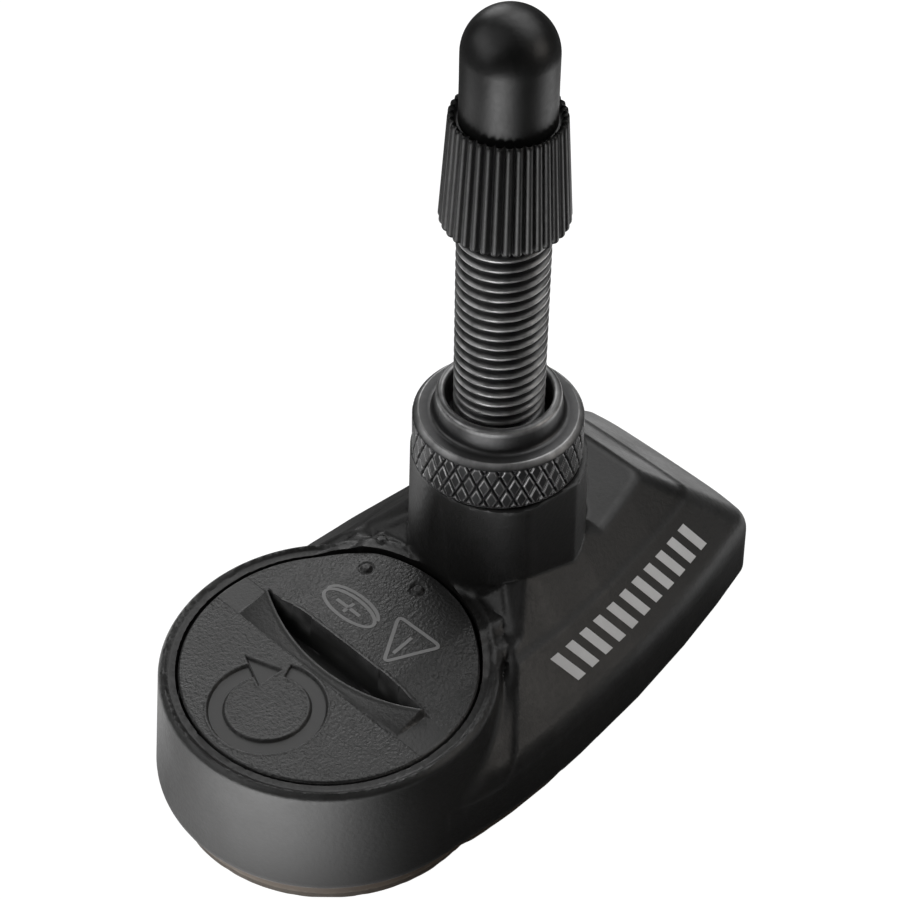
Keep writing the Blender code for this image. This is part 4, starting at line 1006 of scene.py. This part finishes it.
ICON_STROKE = 0.25
CELL_ICON = (-11.67, 2.15)
CELL_RIM = (-11.3, 2.2)
CELL_LONG, CELL_SHORT = 2.27, 0.92
cover_body = body_of("battery_cover")
print_strokes(
    "printed_cell_icon",
    [
        (ellipse(CELL_ICON, CELL_LONG, CELL_SHORT), ICON_STROKE, True),
        (ellipse(CELL_RIM, CELL_LONG, CELL_SHORT, -82.0, 98.0, 50), ICON_STROKE, False),
        (line((-11.7, 3.3), (-11.7, 1.1)), ICON_STROKE, False),
        (line((-11.2, 2.18), (-12.2, 2.18)), ICON_STROKE, False),
    ],
    cover_body,
)
print_strokes(
    "printed_triangle_icon",
    [
        (rounded([(-9.84, -0.72), (-13.39, -2.92), (-9.76, -4.62)], 0.5), ICON_STROKE, True),
        (line((-10.6, -2.7), (-12.4, -2.82)), ICON_STROKE, False),
    ],
    cover_body,
)


def flank_point(x, z):
    """A point on the -Y flank."""
    return np.array([x, -(half_width(x) - (z - SKIRT_TOP) / FLANK_SLOPE), z])


BAR_COUNT = 11
BAR_PITCH = 1.5
BAR_WIDTH = 0.78
BAR_START = -2.9
BAR_LOW, BAR_HIGH = 7.5, 9.3
BAR_SLANT = -1.15


def build_flank_marks():
    """A row of slanted bars, each a thin slab that follows the flank."""
    points, faces = [], []
    across, up = 4, 7
    for bar in range(BAR_COUNT):
        first = len(points)
        top, bottom = [], []
        for j in range(up):
            v = j / (up - 1)
            z = BAR_LOW + (BAR_HIGH - BAR_LOW) * v
            for i in range(across):
                x = BAR_START + BAR_PITCH * bar + BAR_WIDTH * i / (across - 1) + BAR_SLANT * v
                place = flank_point(x, z)[None]
                for _ in range(4):
                    slope = gradient(housing_solid, place)
                    place = place - slope * housing_solid(*place.T)[:, None] / (slope**2).sum()
                slope = slope / np.linalg.norm(slope)
                top.append((place + slope * INK_LIFT)[0])
                bottom.append((place - slope * 0.06)[0])
        points += top + bottom
        count = across * up
        for j in range(up - 1):
            for i in range(across - 1):
                a = first + j * across + i
                quad = (a, a + 1, a + across + 1, a + across)
                faces.append(quad)
                faces.append(tuple(q + count for q in quad[::-1]))
        rim = list(range(across))
        rim += [j * across + across - 1 for j in range(1, up)]
        rim += [(up - 1) * across + i for i in range(across - 2, -1, -1)]
        rim += [j * across for j in range(up - 2, 0, -1)]
        for k, i in enumerate(rim):
            j = rim[(k + 1) % len(rim)]
            faces.append((first + j, first + i, first + i + count, first + j + count))
    return np.array(points), faces


points, faces = build_flank_marks()
new_piece("printed_flank_bars", points + [STEM_X, 0, 0], faces, body_of("housing"), PRINT, 30)

# ------------------------------------------------------------------ base

TRAY_INSET, TRAY_MIDDLE, TRAY_HALF = 0.75, 1.225, 0.675
TONGUE_INSET, TONGUE_MIDDLE, TONGUE_HALF = 1.75, 1.6, 1.0
PAD_INSET, PAD_HALF, PAD_BORE = 0.85, 0.25, 4.8
SCREW_HOLE, SCREW_HEAD, SCREW_SEAT, PAD_HOLE = 0.75, 1.3, 1.4, 1.5
BASE_STEP = 0.3
SCREWS = []
for name in frame["nodes"]:
    if name.startswith("base_screw"):
        screw_low, screw_high = box_mm(name)
        SCREWS.append((screw_low[:2] + screw_high[:2]) / 2 - [STEM_X, 0])


def base_outline(x, y, inset):
    """Less than zero inside the housing's outline in plan, moved inwards."""
    ring = np.hypot(x - COVER_DX, y) - (WALL_RADIUS - inset)
    side = np.maximum(np.abs(y) - half_width(x), x - end_place(y)) + inset
    return np.minimum(ring, np.maximum(side, COVER_DX - x))


def tray_field(x, y, z):
    """The base plate: a rim that shows and a tongue inside the housing, with its holes."""
    rim = round_and(base_outline(x, y, TRAY_INSET), np.abs(z - TRAY_MIDDLE) - TRAY_HALF, 0.12)
    tongue = base_outline(x, y, TONGUE_INSET)
    tongue = np.maximum(tongue, np.abs(z - TONGUE_MIDDLE) - TONGUE_HALF)
    solid = np.minimum(rim, tongue)
    hole = np.hypot(x, y) - FOOT_BORE
    for cx, cy in SCREWS:
        far = np.hypot(x - cx, y - cy)
        head = np.maximum(far - SCREW_HEAD, z - SCREW_SEAT)
        hole = np.minimum(hole, np.minimum(far - SCREW_HOLE, head))
    return np.maximum(solid, -hole)


def pad_field(x, y, z):
    """The gasket under the base plate."""
    solid = round_and(base_outline(x, y, PAD_INSET), np.abs(z - PAD_HALF) - PAD_HALF, 0.1)
    hole = np.hypot(x, y) - PAD_BORE
    for cx, cy in SCREWS:
        hole = np.minimum(hole, np.hypot(x - cx, y - cy) - PAD_HOLE)
    return np.maximum(solid, -hole)


# The base plate and the gasket take the materials with a painted warm reflection in their colour.
for name, node, field, low, high, material in (
    ("base_tray", "base_plate", tray_field, plate_low, plate_high, BASE_PLASTIC_WARM_REFLECTION),
    ("base_pad", "base_gasket", pad_field, gasket_low, gasket_high, BASE_RUBBER_WARM_REFLECTION),
):
    points, faces = surface_net(
        field, (COVER_DX - 11.6, -12.0, low[2]), (WING_END, 12.0, high[2]), BASE_STEP
    )
    piece = new_piece(
        name, points + [STEM_X, 0, 0], faces, body_of(node), material,
        attributes={"edge": np.maximum(edge_strength(field, points), 0)},
    )
    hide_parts(node)

# ------------------------------------------------------------------ plain CAD nodes

NODE_MATERIALS = {
    "base_screw": BRIGHT_STEEL,
    "board_screw": BRIGHT_STEEL,
    "coin_cell": BRIGHT_STEEL,
    "battery_positive_contact": TINNED,
    "battery_negative_contact": TINNED,
    "circuit_board": LAMINATE,
    "radio_chip": CHIP_RESIN,
    "crystal": BRIGHT_STEEL,
    "board_capacitor": CERAMIC,
    "antenna": TINNED,
    "pressure_sensor": BRIGHT_STEEL,
    "core_body": BRASS,
    "core_pin": BRASS,
    "core_lock_nut": BRASS,
    "core_spring": BRIGHT_STEEL,
}
for name, node in frame["nodes"].items():
    kind = name.rstrip("_0123456789")
    material = NODE_MATERIALS.get(name) or NODE_MATERIALS.get(kind) or RUBBER
    for slot in node.material_slots:
        slot.material = material

# ------------------------------------------------------------------ stage

# Soft pools of light on the floor, hidden from the camera's own rays: (x, y, radius, strength).
FLOOR_POOLS = (
    (-47.0, -12.0, 23.0, 5.5),
    (-80.0, -45.0, 38.0, 2.6),
    (-38.0, -48.0, 20.0, 1.2),
    (-24.0, 36.0, 26.0, 1.5),
    (55.0, -38.0, 28.0, 2.0),
    (52.0, 12.0, 22.0, 1.3),
)
FLOOR_SIDE = 101
FLOOR_GAP = 0.0001


def dim_unless_seen(tree):
    """A value that is 1 for the camera's own rays and the To Min input for all others."""
    path = tree.nodes.new("ShaderNodeLightPath")
    level = tree.nodes.new("ShaderNodeMapRange")
    tree.links.new(path.outputs["Is Camera Ray"], level.inputs["Value"])
    level.inputs["To Max"].default_value = 1.0
    return level


t = np.linspace(-1.0, 1.0, FLOOR_SIDE)
places = 0.18 * t + 1.3 * t**5
gx, gy = np.meshgrid(places, places, indexing="ij")
number = np.arange(FLOOR_SIDE**2).reshape(FLOOR_SIDE, FLOOR_SIDE)
quads = np.stack([number[:-1, :-1], number[1:, :-1], number[1:, 1:], number[:-1, 1:]], -1)
glow = np.zeros_like(gx)
for cx, cy, radius, strength in FLOOR_POOLS:
    far = np.hypot(gx / MM - cx, gy / MM - cy)
    glow += strength * np.exp(-((far / radius) ** 4))
floor_mesh = bpy.data.meshes.new("floor")
floor_mesh.from_pydata(
    np.stack([gx, gy, np.zeros_like(gx)], -1).reshape(-1, 3), [], quads.reshape(-1, 4).tolist()
)
floor_mesh.attributes.new("glow", "FLOAT", "POINT").data.foreach_set(
    "value", glow.reshape(-1).astype(np.float32)
)
floor = bpy.data.objects.new("floor", floor_mesh)
bpy.context.scene.collection.objects.link(floor)
floor.location.z = -FLOOR_GAP
paper = bpy.data.materials.new("pale_paper")
paper.use_nodes = True
tree = paper.node_tree
matt = tree.nodes["Principled BSDF"]
matt.inputs["Base Color"].default_value = (0.12, 0.12, 0.12, 1)
matt.inputs["Roughness"].default_value = 0.9
matt.inputs["Specular IOR Level"].default_value = 0.0
pools = tree.nodes.new("ShaderNodeAttribute")
pools.attribute_name = "glow"
level = dim_unless_seen(tree)
tree.links.new(pools.outputs["Fac"], level.inputs["To Min"])
tree.links.new(level.outputs[0], matt.inputs["Emission Strength"])
matt.inputs["Emission Color"].default_value = (1, 1, 1, 1)
floor_mesh.materials.append(paper)
floor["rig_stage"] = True

world = bpy.data.worlds.new("studio")
bpy.context.scene.world = world
world.use_nodes = True
tree = world.node_tree
level = dim_unless_seen(tree)
level.inputs["To Min"].default_value = 0.005
tree.nodes["Background"].inputs["Color"].default_value = (1.0, 1.0, 1.0, 1)
tree.links.new(level.outputs[0], tree.nodes["Background"].inputs["Strength"])


LIGHT_DISTANCE = 0.5
LIGHT_AIM = Vector((0, 0, 0.015))


def area_light(name, azimuth, elevation, size, power, colour=(1, 1, 1)):
    data = bpy.data.lights.new(name, "AREA")
    data.shape = "RECTANGLE"
    data.size, data.size_y = size
    data.energy = power
    data.color = colour
    obj = bpy.data.objects.new(name, data)
    a, e = math.radians(azimuth), math.radians(elevation)
    direction = Vector((math.cos(e) * math.cos(a), math.cos(e) * math.sin(a), math.sin(e)))
    obj.location = LIGHT_AIM + direction * LIGHT_DISTANCE
    obj.rotation_euler = direction.to_track_quat("Z", "Y").to_euler()
    bpy.context.scene.collection.objects.link(obj)


area_light("back_right", 60, 25, (0.22, 0.2), 0.45)
area_light("back_top", 42, 52, (0.34, 0.34), 0.36)
area_light("back_left", 125, 30, (0.3, 0.3), 0.3)
area_light("left_low", 160, 24, (0.3, 0.3), 0.3)
area_light("left_high", 165, 52, (0.45, 0.45), 0.3)
area_light("right_top", 4, 58, (0.4, 0.4), 0.8)
area_light("right_high", 318, 50, (0.3, 0.3), 0.22)
area_light("right_low", 304, 21, (0.25, 0.2), 0.28, (1.0, 0.94, 0.88))

camera_data = bpy.data.cameras.new("camera")
camera = bpy.data.objects.new("camera", camera_data)
camera.location = (-0.088851, -0.086317, 0.141157)
camera.rotation_euler = tuple(math.radians(v) for v in (46.239, -0.678, -45.151))
camera_data.lens = 106.0
camera_data.sensor_width = 36.0
camera_data.clip_start = 0.001
bpy.context.scene.collection.objects.link(camera)
bpy.context.scene.camera = camera
bpy.context.scene.view_settings.view_transform = "Standard"

low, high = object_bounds()
